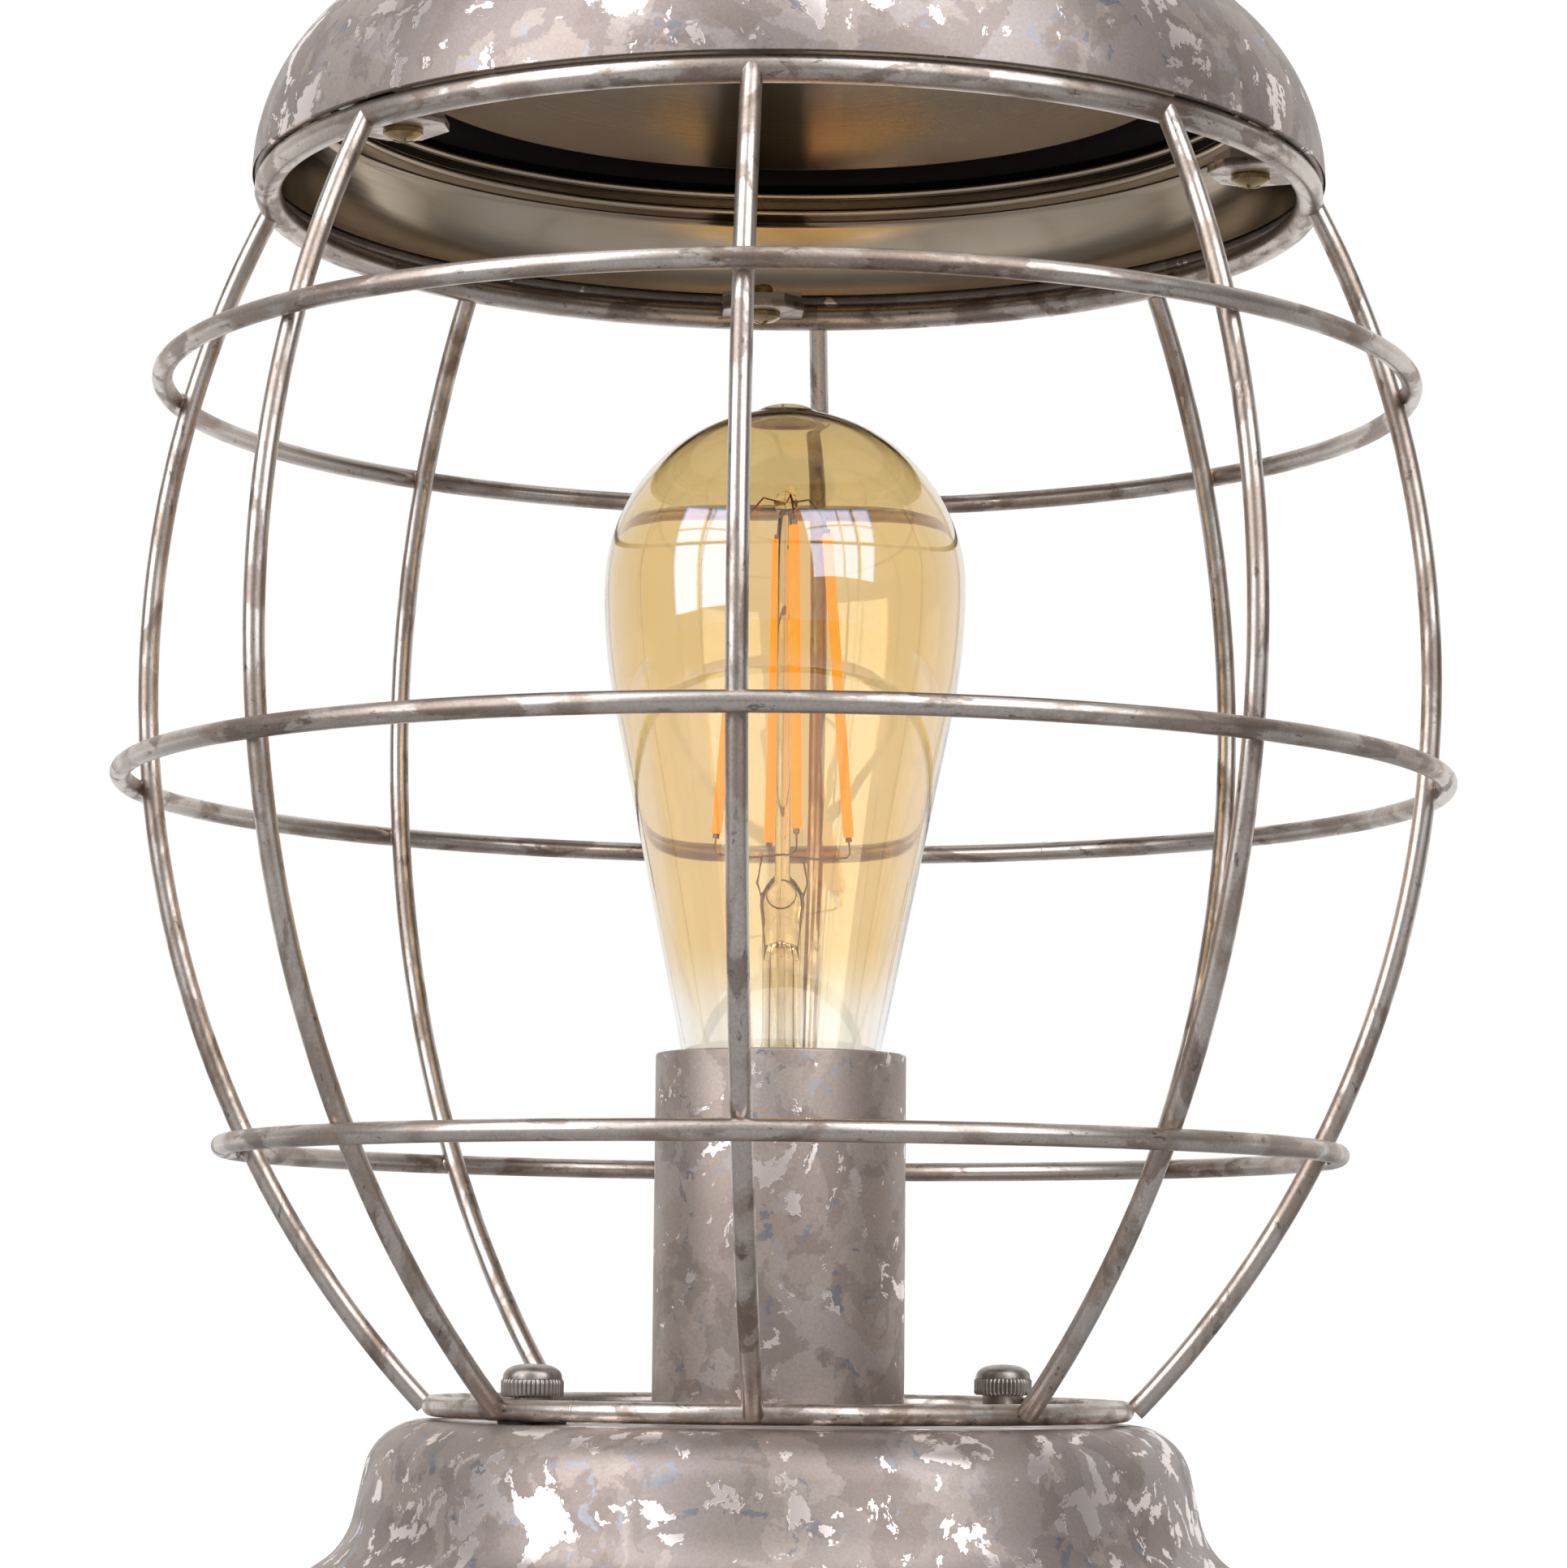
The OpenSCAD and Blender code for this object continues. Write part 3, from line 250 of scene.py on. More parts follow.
def along_wire(tree, at, in_ring):
    """Coordinates squeezed to 0.4 along the wire, so that patches come out long that way: round the
    axis, from a cut at the back, for rings, and along Z for the rest."""
    squeeze, ring_r = 0.4, 100
    if not in_ring:
        flatter = add(tree, "ShaderNodeVectorMath", {0: at, 1: (1, 1, squeeze)}, operation="MULTIPLY")
        return flatter.outputs[0]
    turned_at = add(tree, "ShaderNodeVectorMath", {0: at, 1: (1, -1, 1)}, operation="MULTIPLY")
    ways = add(tree, "ShaderNodeSeparateXYZ", {0: turned_at.outputs[0]})
    angle = add(tree, "ShaderNodeMath", {0: ways.outputs["X"], 1: ways.outputs["Y"]}, operation="ARCTAN2")
    run = add(tree, "ShaderNodeMath", {0: angle.outputs[0], 1: squeeze * ring_r}, operation="MULTIPLY")
    return add(tree, "ShaderNodeCombineXYZ", {
        0: run.outputs[0], 1: axis_distance(tree, ways), 2: ways.outputs["Z"]}).outputs[0]


def patina_wire(name, patch_mm, in_ring):
    """Mild steel wire, drawn bright and patinated: satin grey steel under a thin brown film.

    The steel gives a bright streak along the wire, which the film dulls in patches."""
    material, tree, shader = new_material(name, {"Metallic": 1.0})
    at = millimetres(tree, (0, 0, 0))
    patches = patch_maker(tree, along_wire(tree, at, in_ring), 0.45)
    film = patches((3, 57, 19), patch_mm, 0.47, 0.12)
    deep = patches((29, 5, 71), 0.8 * patch_mm, 0.57, 0.06)
    spot = patches((47, 23, 11), 0.2 * patch_mm, 0.66, 0.02)
    fleck = patches((7, 67, 43), 0.4 * patch_mm, 0.66, 0.03)
    tone = layered(tree, rgba(linear("c8bdb3")), [
        (film, 0.8, linear("a08f80")), (deep, 0.65, linear("7e6c5f")), (spot, 0.6, linear("5c5049")),
        (fleck, 0.5, linear("d9d2ca"))])
    # Speckle of the film's grain, drawn at 0.5 mm so that it shows
    grain = add(tree, "ShaderNodeTexNoise", {"Vector": at, "Scale": 1 / 0.5, "Detail": 2.0})
    shade = add(tree, "ShaderNodeMapRange", {
        "Value": grain.outputs["Fac"], "From Min": 0.3, "From Max": 0.7, "To Min": 0.88, "To Max": 1.08})
    speckled = add(tree, "ShaderNodeVectorMath", {0: tone, 3: shade.outputs["Result"]}, operation="SCALE")
    dull = add(tree, "ShaderNodeMath", {0: film, 1: deep}, operation="MAXIMUM").outputs[0]
    rough = add(tree, "ShaderNodeMapRange", {"Value": dull, "To Min": 0.3, "To Max": 0.42})
    # The film is a few hundredths of a millimetre thick
    relief = add(tree, "ShaderNodeMath", {0: grain.outputs["Fac"], 1: 0.2, 2: dull},
                 operation="MULTIPLY_ADD")
    surface(tree, shader, speckled.outputs[0], rough.outputs["Result"], relief.outputs[0], 0.2, 0.03)
    return material


def plain_metal(name, hex_colour, roughness, shift, mottle_mm=4.0, mottle=0.12):
    """A plated or bright metal with a faint mottle of wear in its colour and gloss."""
    material, tree, shader = new_material(name, {"Metallic": 1.0})
    at = millimetres(tree, shift)
    cloud = add(tree, "ShaderNodeTexNoise", {"Vector": at, "Scale": 1 / mottle_mm, "Detail": 5.0,
                                             "Roughness": 0.6})
    tone = add(tree, "ShaderNodeMapRange", {
        "Value": cloud.outputs["Fac"], "From Min": 0.3, "From Max": 0.7,
        "To Min": 1 - mottle, "To Max": 1.0})
    base = add(tree, "ShaderNodeVectorMath", {0: linear(hex_colour), 3: tone.outputs["Result"]},
               operation="SCALE")
    gloss = add(tree, "ShaderNodeMapRange", {
        "Value": cloud.outputs["Fac"], "From Min": 0.3, "From Max": 0.7,
        "To Min": roughness * 1.25, "To Max": roughness * 0.85})
    surface(tree, shader, base.outputs[0], gloss.outputs["Result"])
    return material


def polished_steel(name, channel_r, channel_z):
    """Cold-rolled steel, spun and polished: a warm mirror with faint spinning lines, and painted shade,
    near black, in the recessed channel outside channel_r and above channel_z, in millimetres."""
    material, tree, shader = new_material(name, {"Metallic": 1.0})
    at = millimetres(tree, (0, 0, 0))
    ways = add(tree, "ShaderNodeSeparateXYZ", {0: at})
    radius = axis_distance(tree, ways)
    # Spinning lines run round the axis about 0.8 mm apart, so they change with radius and height
    across = add(tree, "ShaderNodeMath", {0: radius, 1: ways.outputs["Z"]}).outputs[0]
    line = add(tree, "ShaderNodeTexNoise", {"W": across, "Scale": 1 / 0.8, "Detail": 3.0},
               noise_dimensions="1D")
    cloud = add(tree, "ShaderNodeTexNoise", {"Vector": at, "Scale": 1 / 26, "Detail": 4.0})
    outside = add(tree, "ShaderNodeMapRange", {
        "Value": radius, "From Min": channel_r - 0.3, "From Max": channel_r + 0.1})
    above = add(tree, "ShaderNodeMapRange", {
        "Value": ways.outputs["Z"], "From Min": channel_z, "From Max": channel_z + 0.3})
    channel = add(tree, "ShaderNodeMath", {0: outside.outputs["Result"], 1: above.outputs["Result"]},
                  operation="MULTIPLY").outputs[0]
    # Painted shade: the recessed channel is coloured near black, as a dark recess
    tone = layered(tree, rgba(linear("b3a08a")), [
        (cloud.outputs["Fac"], 1.0, linear("c9bba8")), (channel, 1.0, linear("2c2725"))])
    shine = add(tree, "ShaderNodeMapRange", {"Value": line.outputs["Fac"], "To Min": 0.1, "To Max": 0.2})
    gloss = add(tree, "ShaderNodeMath", {0: channel, 1: 0.4, 2: shine.outputs["Result"]},
                operation="MULTIPLY_ADD")
    surface(tree, shader, tone, gloss.outputs[0], line.outputs["Fac"], 0.08, 0.03)
    return material


def amber_glass(name):
    """Soda-lime glass, blown, with an amber film of metal oxide that fades out above the cap.

    The film lets amber through, so what it mirrors is bluish, and stronger than on bare glass."""
    colours = bpy.context.scene.lantern_colours
    material, tree, shader = new_material(name, {
        "IOR": 1.5, "Transmission Weight": 1.0, "Roughness": 0.0, "Thin Film Thickness": 178.0,
        "Thin Film IOR": 1.85})
    at = millimetres(tree, (0, 0, 0))
    ways = add(tree, "ShaderNodeSeparateXYZ", {0: at})
    crown, mouth = node_box("bulb_glass")[1].z, node_box("socket_tube")[1].z
    wave = add(tree, "ShaderNodeTexNoise", {"Vector": at, "Scale": 1 / 18, "Detail": 2.0})
    height = add(tree, "ShaderNodeMath", {0: wave.outputs["Fac"], 1: 5.0, 2: ways.outputs["Z"]},
                 operation="MULTIPLY_ADD")
    fade = add(tree, "ShaderNodeMapRange", {
        "Value": height.outputs[0], "From Min": mouth + 7, "From Max": mouth + 22},
        interpolation_type="SMOOTHSTEP")
    deep = add(tree, "ShaderNodeMapRange", {
        "Value": height.outputs[0], "From Min": crown - 62, "From Max": crown - 14},
        interpolation_type="SMOOTHSTEP")
    tint = layered(tree, rgba(colours.glass), [(deep.outputs["Result"], 1.0, linear("efdeb8"))])
    colour = add(tree, "ShaderNodeMix", {
        0: fade.outputs["Result"], 6: rgba(linear("f6f3ee")), 7: tint}, data_type="RGBA")
    # The waves of blown glass are slow, some 18 mm across
    surface(tree, shader, colour.outputs[2], None, wave.outputs["Fac"], 0.15, 0.3)
    return material


def clear_glass(name):
    """Lead-free tube glass, drawn and pinched: clear, with fine streaks along its length."""
    material, tree, shader = new_material(name, {
        "IOR": 1.52, "Transmission Weight": 1.0, "Base Color": rgba(linear("f7f1e4"))})
    at = millimetres(tree, (3, 5, 7))
    streak = add(tree, "ShaderNodeTexNoise", {"Vector": at, "Scale": 1 / 1.5, "Detail": 2.0})
    gloss = add(tree, "ShaderNodeMapRange", {"Value": streak.outputs["Fac"], "To Min": 0.0, "To Max": 0.06})
    tree.links.new(gloss.outputs["Result"], shader.inputs["Roughness"])
    return material


def phosphor_silicone(name):
    """Silicone with phosphor, cast round each strip of diodes: dense orange, soft and faintly lumpy.

    A painted glow: the silicone gives out a faint orange light of its own, so that it looks lit inside its bulb."""
    colours = bpy.context.scene.lantern_colours
    # The emission is a painted glow, not the light of a lamp
    material, tree, shader = new_material(name, {
        "Roughness": 0.5, "IOR": 1.41, "Subsurface Weight": 0.15, "Subsurface Scale": 0.4 * MM,
        "Emission Color": rgba(linear("ff9a10")), "Emission Strength": 0.9})
    at = millimetres(tree, (2, 9, 4))
    # Diodes sit 1.6 mm apart under the silicone and show as slightly paler dots
    lump = add(tree, "ShaderNodeTexNoise", {"Vector": at, "Scale": 1 / 1.6, "Detail": 1.0})
    tone = layered(tree, rgba(colours.filament), [(lump.outputs["Fac"], 1.0, linear("ffb347"))])
    surface(tree, shader, tone, None, lump.outputs["Fac"], 0.3, 0.1)
    return material


def moulded(name, hex_colour, roughness, ior, grain_mm, bump_mm):
    """A dark moulded or cast stuff: phenolic resin, rubber, vulcanised fibre or iron."""
    material, tree, shader = new_material(name, {"IOR": ior})
    at = millimetres(tree, (1, 2, 3))
    grain = add(tree, "ShaderNodeTexNoise", {"Vector": at, "Scale": 1 / grain_mm, "Detail": 4.0})
    tone = add(tree, "ShaderNodeMapRange", {"Value": grain.outputs["Fac"], "To Min": 0.75, "To Max": 1.25})
    base = add(tree, "ShaderNodeVectorMath", {0: linear(hex_colour), 3: tone.outputs["Result"]},
               operation="SCALE")
    gloss = add(tree, "ShaderNodeMapRange", {
        "Value": grain.outputs["Fac"], "To Min": roughness - 0.08, "To Max": roughness + 0.08})
    surface(tree, shader, base.outputs[0], gloss.outputs["Result"], grain.outputs["Fac"], 0.6, bump_mm)
    return material


def pressed_felt(name):
    """Wool felt, pressed: charcoal, with fibres of about 0.4 mm lying every way."""
    material, tree, shader = new_material(name, {"IOR": 1.5, "Sheen Weight": 0.4, "Sheen Roughness": 0.6})
    at = millimetres(tree, (6, 1, 8))
    fibre = add(tree, "ShaderNodeTexVoronoi", {"Vector": at, "Scale": 1 / 0.4}, feature="F1")
    cloud = add(tree, "ShaderNodeTexNoise", {"Vector": at, "Scale": 1 / 6, "Detail": 5.0})
    both = add(tree, "ShaderNodeMath", {0: fibre.outputs["Distance"], 1: cloud.outputs["Fac"]},
               operation="MULTIPLY")
    tone = layered(tree, rgba(linear("232325")), [(both.outputs[0], 1.0, linear("4a4a4e"))])
    gloss = add(tree, "ShaderNodeMapRange", {
        "Value": fibre.outputs["Distance"], "To Min": 0.85, "To Max": 1.0})
    surface(tree, shader, tone, gloss.outputs["Result"], both.outputs[0], 1.0, 0.2)
    return material


MATERIALS = {}


def finish(slot):
    """The material of one of the record's slots, made the first time that it is asked for."""
    flake = bpy.context.scene.lantern_sizes.flake_size / MM
    coat = bpy.context.scene.lantern_colours.coat
    # Radius and height where the reflector's painted shade begins
    channel = (RIM_R - DISH_INSET, node_box("cap_shell")[0].z + CHANNEL_SHADE_H)
    makers = {
        "galvanised_steel": lambda: aged_zinc("galvanised_sheet", coat, (60, 25, 80), flake, 0.59, 0.85),
        # The cap's coat is a darker copy of the sheet: painted shade, as less light reaches the cap
        "cap_sheet_painted_shade": lambda: aged_zinc("galvanised_sheet_painted_shade_cap", linear("92857e"), (40, 70, 20), flake,
                                       0.62, 0.8),
        # The tube's coat is a lighter copy of the sheet: painted light, brightening the upright tube
        "tube_sheet_painted_light": lambda: aged_zinc("galvanised_sheet_painted_light_tube", linear("a7978c"), (15, 35, 60),
                                        0.8 * flake, 0.63, 0.8),
        "galvanised_wire": lambda: patina_wire("patinated_wire", 0.6 * flake, False),
        "ring_wire": lambda: patina_wire("patinated_ring_wire", 0.6 * flake, True),
        "polished_steel": lambda: polished_steel("polished_steel", *channel),
        "cast_iron": lambda: moulded("grey_cast_iron", "3b3a3a", 0.7, 1.5, 1.2, 0.2),
        "felt": lambda: pressed_felt("pressed_felt"),
        "rubber": lambda: moulded("vulcanised_rubber", "1c1c1d", 0.55, 1.52, 0.8, 0.02),
        "zinc_hardware": lambda: plain_metal("zinc_plated_steel", "c9c5bb", 0.35, (9, 9, 9)),
        "phenolic": lambda: moulded("phenolic_resin", "2a221e", 0.3, 1.6, 3.0, 0.01),
        "brass": lambda: plain_metal("lacquered_brass", "b8a179", 0.26, (4, 4, 4), 2.5, 0.35),
        "amber_glass": lambda: amber_glass("amber_coated_glass"),
        "clear_glass": lambda: clear_glass("drawn_clear_glass"),
        "black_glass": lambda: moulded("black_vitrite", "15141a", 0.15, 1.6, 2.0, 0.01),
        "plated_brass": lambda: plain_metal("nickel_plated_brass", "cfc3a6", 0.24, (8, 8, 8)),
        "solder": lambda: plain_metal("tin_solder", "bdbcb8", 0.4, (5, 5, 5), 1.5, 0.2),
        "phosphor": lambda: phosphor_silicone("phosphor_silicone"),
        "nickel_wire": lambda: plain_metal("drawn_nickel_wire", "8c7556", 0.3, (6, 6, 6)),
        "fibre": lambda: moulded("vulcanised_fibre", "2c2622", 0.7, 1.5, 0.5, 0.03),
        "nickel": lambda: plain_metal("dark_nickel_plate", "b6ada5", 0.33, (7, 7, 7), 3.0, 0.3),
    }
    if slot not in MATERIALS:
        MATERIALS[slot] = makers[slot]()
    return MATERIALS[slot]


# Mesh helpers; sizes are in millimetres until a mesh is made

def place(name, mesh, body, slot, replaces=(), sharp=35.0, variant=None):
    """Links a mesh as a piece on its body, with its finish and the nodes that it stands for. A variant
    is another finish of the same slot."""
    piece = bpy.data.objects.new(name, mesh)
    bpy.context.scene.collection.objects.link(piece)
    mesh.materials.append(finish(variant or slot))
    mesh.shade_smooth()
    mesh.set_sharp_from_angle(angle=math.radians(sharp))
    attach(piece, body)
    if replaces:
        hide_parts(*replaces)
    return piece


def mesh_of(name, points, faces):
    mesh = bpy.data.meshes.new(name)
    mesh.from_pydata([Vector(p) * MM for p in points], [], faces)
    mesh.validate()
    return mesh


def grid_faces(rows, columns, wrap_rows, wrap_columns):
    """Quads over a grid of points, joined end to end where it wraps."""
    return [(r * columns + c, r * columns + (c + 1) % columns,
             (r + 1) % rows * columns + (c + 1) % columns, (r + 1) % rows * columns + c)
            for r in range(rows if wrap_rows else rows - 1)
            for c in range(columns if wrap_columns else columns - 1)]


def turned(profile, steps=128, closed=True, ripple=None):
    """Points and faces of a profile of (radius, height) turned round Z. A ripple changes the radius
    with the profile's index and the angle. Points on the axis are drawn together into one."""
    points, faces, ring_at = [], [], []
    for index, (radius, height) in enumerate(profile):
        if radius < 1e-6:
            ring_at.append([len(points)] * steps)
            points.append((0, 0, height))
            continue
        ring_at.append(list(range(len(points), len(points) + steps)))
        for k in range(steps):
            angle = 2 * math.pi * k / steps
            r = radius + (ripple(index, angle) if ripple else 0)
            points.append((r * math.cos(angle), r * math.sin(angle), height))
    last = len(profile) if closed else len(profile) - 1
    for i in range(last):
        near, far = ring_at[i], ring_at[(i + 1) % len(profile)]
        for k in range(steps):
            loop = [near[k], near[(k + 1) % steps], far[(k + 1) % steps], far[k]]
            corners = list(dict.fromkeys(loop))
            if len(corners) > 2:
                faces.append(corners)
    return points, faces


def swept(path, radius, sides=16, closed=False, round_ends=0.0):
    """Points and faces of a round wire along a path. Round ends are drawn in over that length."""
    path = [Vector(p) for p in path]
    count = len(path)
    along = []
    for i in range(count):
        before = path[i - 1] if (i or closed) else path[i]
        after = path[(i + 1) % count] if (i < count - 1 or closed) else path[i]
        along.append((after - before).normalized())
    side = along[0].orthogonal().normalized()
    frames = []
    for tangent in along:
        side = (side - tangent * side.dot(tangent)).normalized()
        frames.append((side, tangent.cross(side)))
    spots = [(p, f, t, 1.0, 0.0) for p, f, t in zip(path, frames, along)]
    if round_ends and not closed:
        steps = [math.radians(a) for a in (15, 40, 65, 85)]
        head = [(path[0], frames[0], along[0], math.sin(a), -round_ends * math.cos(a)) for a in steps]
        tail = [(path[-1], frames[-1], along[-1], math.sin(a), round_ends * math.cos(a)) for a in steps]
        spots = head + spots + tail[::-1]
    points = []
    for p, (u, v), t, share, shift in spots:
        for k in range(sides):
            a = 2 * math.pi * k / sides
            points.append(p + t * shift + (u * math.cos(a) + v * math.sin(a)) * radius * share)
    faces = grid_faces(len(spots), sides, closed, True)
    if not closed:
        faces += [tuple(range(sides))[::-1], tuple(range(len(points) - sides, len(points)))]
    return points, faces


def joined(*parts):
    """Several lots of points and faces as one."""
    points, faces = [], []
    for part_points, part_faces in parts:
        faces += [tuple(len(points) + i for i in face) for face in part_faces]
        points += list(part_points)
    return points, faces


def moved(part, matrix):
    points, faces = part
    return [matrix @ Vector(p) for p in points], faces


def arc(centre, radius, start, end, steps):
    """Points of (radius, height) along an arc, with angles in degrees."""
    return [(centre[0] + radius * math.cos(math.radians(start + (end - start) * i / steps)),
             centre[1] + radius * math.sin(math.radians(start + (end - start) * i / steps)))
            for i in range(steps + 1)]


def circle(radius, steps, height=0.0):
    """Points round a level circle."""
    return [(radius * math.cos(2 * math.pi * k / steps), radius * math.sin(2 * math.pi * k / steps), height)
            for k in range(steps)]


def plate(name, outline, holes, low, thick, bevel):
    """A stamped plate with broken edges. Outline is a loop of points, holes are (x, y, radius)."""
    curve = bpy.data.curves.new(name, "CURVE")
    curve.dimensions = "2D"
    curve.fill_mode = "BOTH"
    curve.extrude = (thick / 2 - bevel) * MM
    curve.bevel_depth = bevel * MM
    curve.bevel_resolution = 1
    loops = [outline] + [[(x + px, y + py) for px, py, _ in circle(r, 32)] for x, y, r in holes]
    for loop in loops:
        spline = curve.splines.new("POLY")
        spline.points.add(len(loop) - 1)
        spline.use_cyclic_u = True
        for point, (x, y) in zip(spline.points, loop):
            point.co = (x * MM, y * MM, 0, 1)
    holder = bpy.data.objects.new(name, curve)
    bpy.context.scene.collection.objects.link(holder)
    graph = bpy.context.evaluated_depsgraph_get()
    mesh = bpy.data.meshes.new_from_object(holder.evaluated_get(graph))
    bpy.data.objects.remove(holder)
    mesh.transform(Matrix.Translation((0, 0, (low + thick / 2) * MM)))
    points = [v.co / MM for v in mesh.vertices]
    faces = [tuple(p.vertices) for p in mesh.polygons]
    bpy.data.meshes.remove(mesh)
    return points, faces


def node_box(name):
    """Lowest and highest corner of a node in millimetres."""
    low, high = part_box(name)
    return low / MM, high / MM


def blob(centre, size, turn, seed):
    """A small lump of weld metal: an uneven ball, stretched and turned."""
    ball = bmesh.new()
    bmesh.ops.create_icosphere(ball, subdivisions=2, radius=1.0)
    points = []
    for v in ball.verts:
        push = 1 + 0.22 * noise.noise(v.co * 1.7 + Vector((seed, 2 * seed, 3 * seed)))
        points.append(turn @ Vector((v.co.x * size[0], v.co.y * size[1], v.co.z * size[2])) * push
                      + Vector(centre))
    faces = [tuple(v.index for v in f.verts) for f in ball.faces]
    ball.free()
    return points, faces


# Forms shared by several pieces, worked out from the frame

WIRE_R = node_box("cage_wire_1")[1].x
RIM_R = node_box("cap_shell")[1].x
SHELL_H = node_box("cap_shell")[1].z - node_box("cap_shell")[0].z
# The reflector's domed middle begins so far inside the rim, and the painted shade in its channel so far above the
# rim
DISH_INSET, CHANNEL_SHADE_H = 23.8, 20.6


def ring_size(name):
    """Centre line radius, wire radius and height of a ring that lies flat."""
    low, high = node_box(name)
    wire = (high.z - low.z) / 2
    return high.x - wire, wire, (high.z + low.z) / 2


def upright_arc():
    """Centre (radius and height), radius, and end angles of the uprights' arc, from foot and head.

    Both ends are welded a little outside the middle of their ring's wire, and the head stands past it."""
    foot_r, _, foot_z = ring_size("low_ring")
    head_r, _, head_z = ring_size("top_ring")
    foot_out, head_out, head_over = 1.9, 0.6, 0.8
    foot_r += foot_out
    head_r += head_out
    belly = -node_box("cage_wire_1")[0].y - WIRE_R
    tall = head_z - foot_z
    rise = belly - foot_r
    ratio = (belly - head_r) / rise
    term = tall * tall - (belly - head_r) * (head_r - foot_r)
    up = (tall - math.sqrt(tall * tall - (1 - ratio) * term)) / (1 - ratio)
    out = (belly + foot_r - up * up / rise) / 2
    radius = belly - out
    start = math.degrees(math.asin(-up / radius))
    end = math.degrees(math.asin((tall + head_over - up) / radius))
    return (out, foot_z + up), radius, start, end


def shell_outline(inset):
    """Outline of a spun shell from its rim up to its flat top, inset from the outer face."""
    shoulder_r, lean, waist, hollow_r, skirt_r = 10.5, 1.2, 73.1, 13.0, 36.0
    flat = waist - lean - shoulder_r
    shoulder = Vector((flat, SHELL_H - shoulder_r))
    skirt = Vector((RIM_R - skirt_r, 0))
    hollow_x = waist + hollow_r
    hollow = Vector((hollow_x, math.sqrt((hollow_r + skirt_r) ** 2 - (hollow_x - skirt.x) ** 2)))
    meet = math.degrees(math.atan2(hollow.y - skirt.y, hollow.x - skirt.x))
    run = hollow - shoulder
    lean_back = math.acos((shoulder_r + hollow_r) / run.length)
    wall = math.degrees(math.atan2(run.y, run.x)) + math.degrees(lean_back)
    return (arc(skirt, skirt_r - inset, 0, meet, 28)
            + arc(hollow, hollow_r + inset, meet + 180, wall + 180, 12)
            + arc(shoulder, shoulder_r - inset, wall, 90, 16))


def spun_shell(name, low, hole_r):
    """Mesh of a spun shell: outer face, hole edge, inner face and the rolled rim."""
    wall, hem = 1.0, 1.2
    outer = shell_outline(0) + [(hole_r, SHELL_H)]
    inner = [(hole_r, SHELL_H - wall)] + shell_outline(wall)[::-1]
    inner = [p for p in inner if p[1] > 2 * hem - 0.2]
    roll = arc((RIM_R - hem, hem), hem, 120, 360, 14)
    profile = [(r, z + low) for r, z in outer + inner + roll[:-1]]
    return mesh_of(name, *turned(profile, 192))


def reflector_profile(rim):
    """Outline of the reflector: inner face from its foot up to the middle, then the hidden face back."""
    low = node_box("cap_reflector")[0]
    sheet, gap, wall, skirt_r = 0.8, 0.3, 1.0, 36.0
    foot, shelf, edge, dome_rise = low.z - rim, 16.2, 22.6, 5.0
    band_r, dome_r, rise, bead = RIM_R - 10.8, RIM_R - DISH_INSET, 3.0, 0.9
    skirt = (RIM_R - skirt_r, 0)
    hidden_r = skirt_r - wall - gap
    inner_r = hidden_r - sheet
    half = (band_r - dome_r) / 2
    channel_r = (half ** 2 + rise ** 2) / (2 * rise)
    channel = (dome_r + half, edge + rise - channel_r)
    spread = math.degrees(math.asin(half / channel_r))
    ball_r = (dome_r ** 2 + dome_rise ** 2) / (2 * dome_rise)
    ball = (0, edge + dome_rise - ball_r)
    lean = math.degrees(math.asin(dome_r / ball_r))
    steps = [math.degrees(math.asin(h / inner_r)) for h in (foot, shelf - 0.6)]
    shelf_r = skirt[0] + math.sqrt(inner_r ** 2 - shelf ** 2) - 0.5
    inner = (arc(skirt, inner_r, *steps, 18)
             + [(shelf_r, shelf), (band_r + 0.5, shelf), (band_r + 0.12, shelf + 0.12)])
    for height in (shelf + bead + 0.1, edge - 2 * (bead + 0.1)):
        inner += arc((band_r, height), bead, 255, 105, 10)
    inner += arc(channel, channel_r, 90 - spread, 90 + spread, 24)
    inner += arc(ball, ball_r, 90 - lean * 0.99, 90, 32)
    steps = [math.degrees(math.asin(h / hidden_r)) for h in (shelf + sheet - 0.02, foot)]
    hidden = (arc(ball, ball_r + sheet, 90, 90 - lean * 0.99, 32)
              + arc(channel, channel_r + sheet, 90 + spread - 4, 90 - spread + 2, 24)
              + [(band_r + sheet, edge), (band_r + sheet, shelf + sheet)]
              + arc(skirt, hidden_r, *steps, 18))
    # The middle lies exactly on the axis
    inner[-1] = (0, edge + dome_rise)
    hidden[0] = (0, edge + dome_rise + sheet)
    return [(r, h + rim) for r, h in inner + hidden]


def cut_away(piece, points, faces):
    """Takes a closed form out of a piece's mesh."""
    tool = bpy.data.objects.new("cutter", mesh_of("cutter", points, faces))
    bpy.context.scene.collection.objects.link(tool)
    cut = piece.modifiers.new("cut", "BOOLEAN")
    cut.operation = "DIFFERENCE"
    cut.solver = "EXACT"
    cut.object = tool
    graph = bpy.context.evaluated_depsgraph_get()
    mesh = bpy.data.meshes.new_from_object(piece.evaluated_get(graph))
    piece.modifiers.clear()
    piece.data = mesh
    bpy.data.objects.remove(tool)
    return piece


def inlet_matrix():
    """Turns and moves a form with its axis along Z to the cord inlet, square to the skirt."""
    mount = next(m for m in frame["record"]["mounts"] if m["name"] == "cord_inlet")
    axis = Vector(mount["axis"])
    turn = Vector((0, 0, 1)).rotation_difference(axis).to_matrix().to_4x4()
    return Matrix.Translation(Vector(mount["pos_m"]) / MM) @ turn


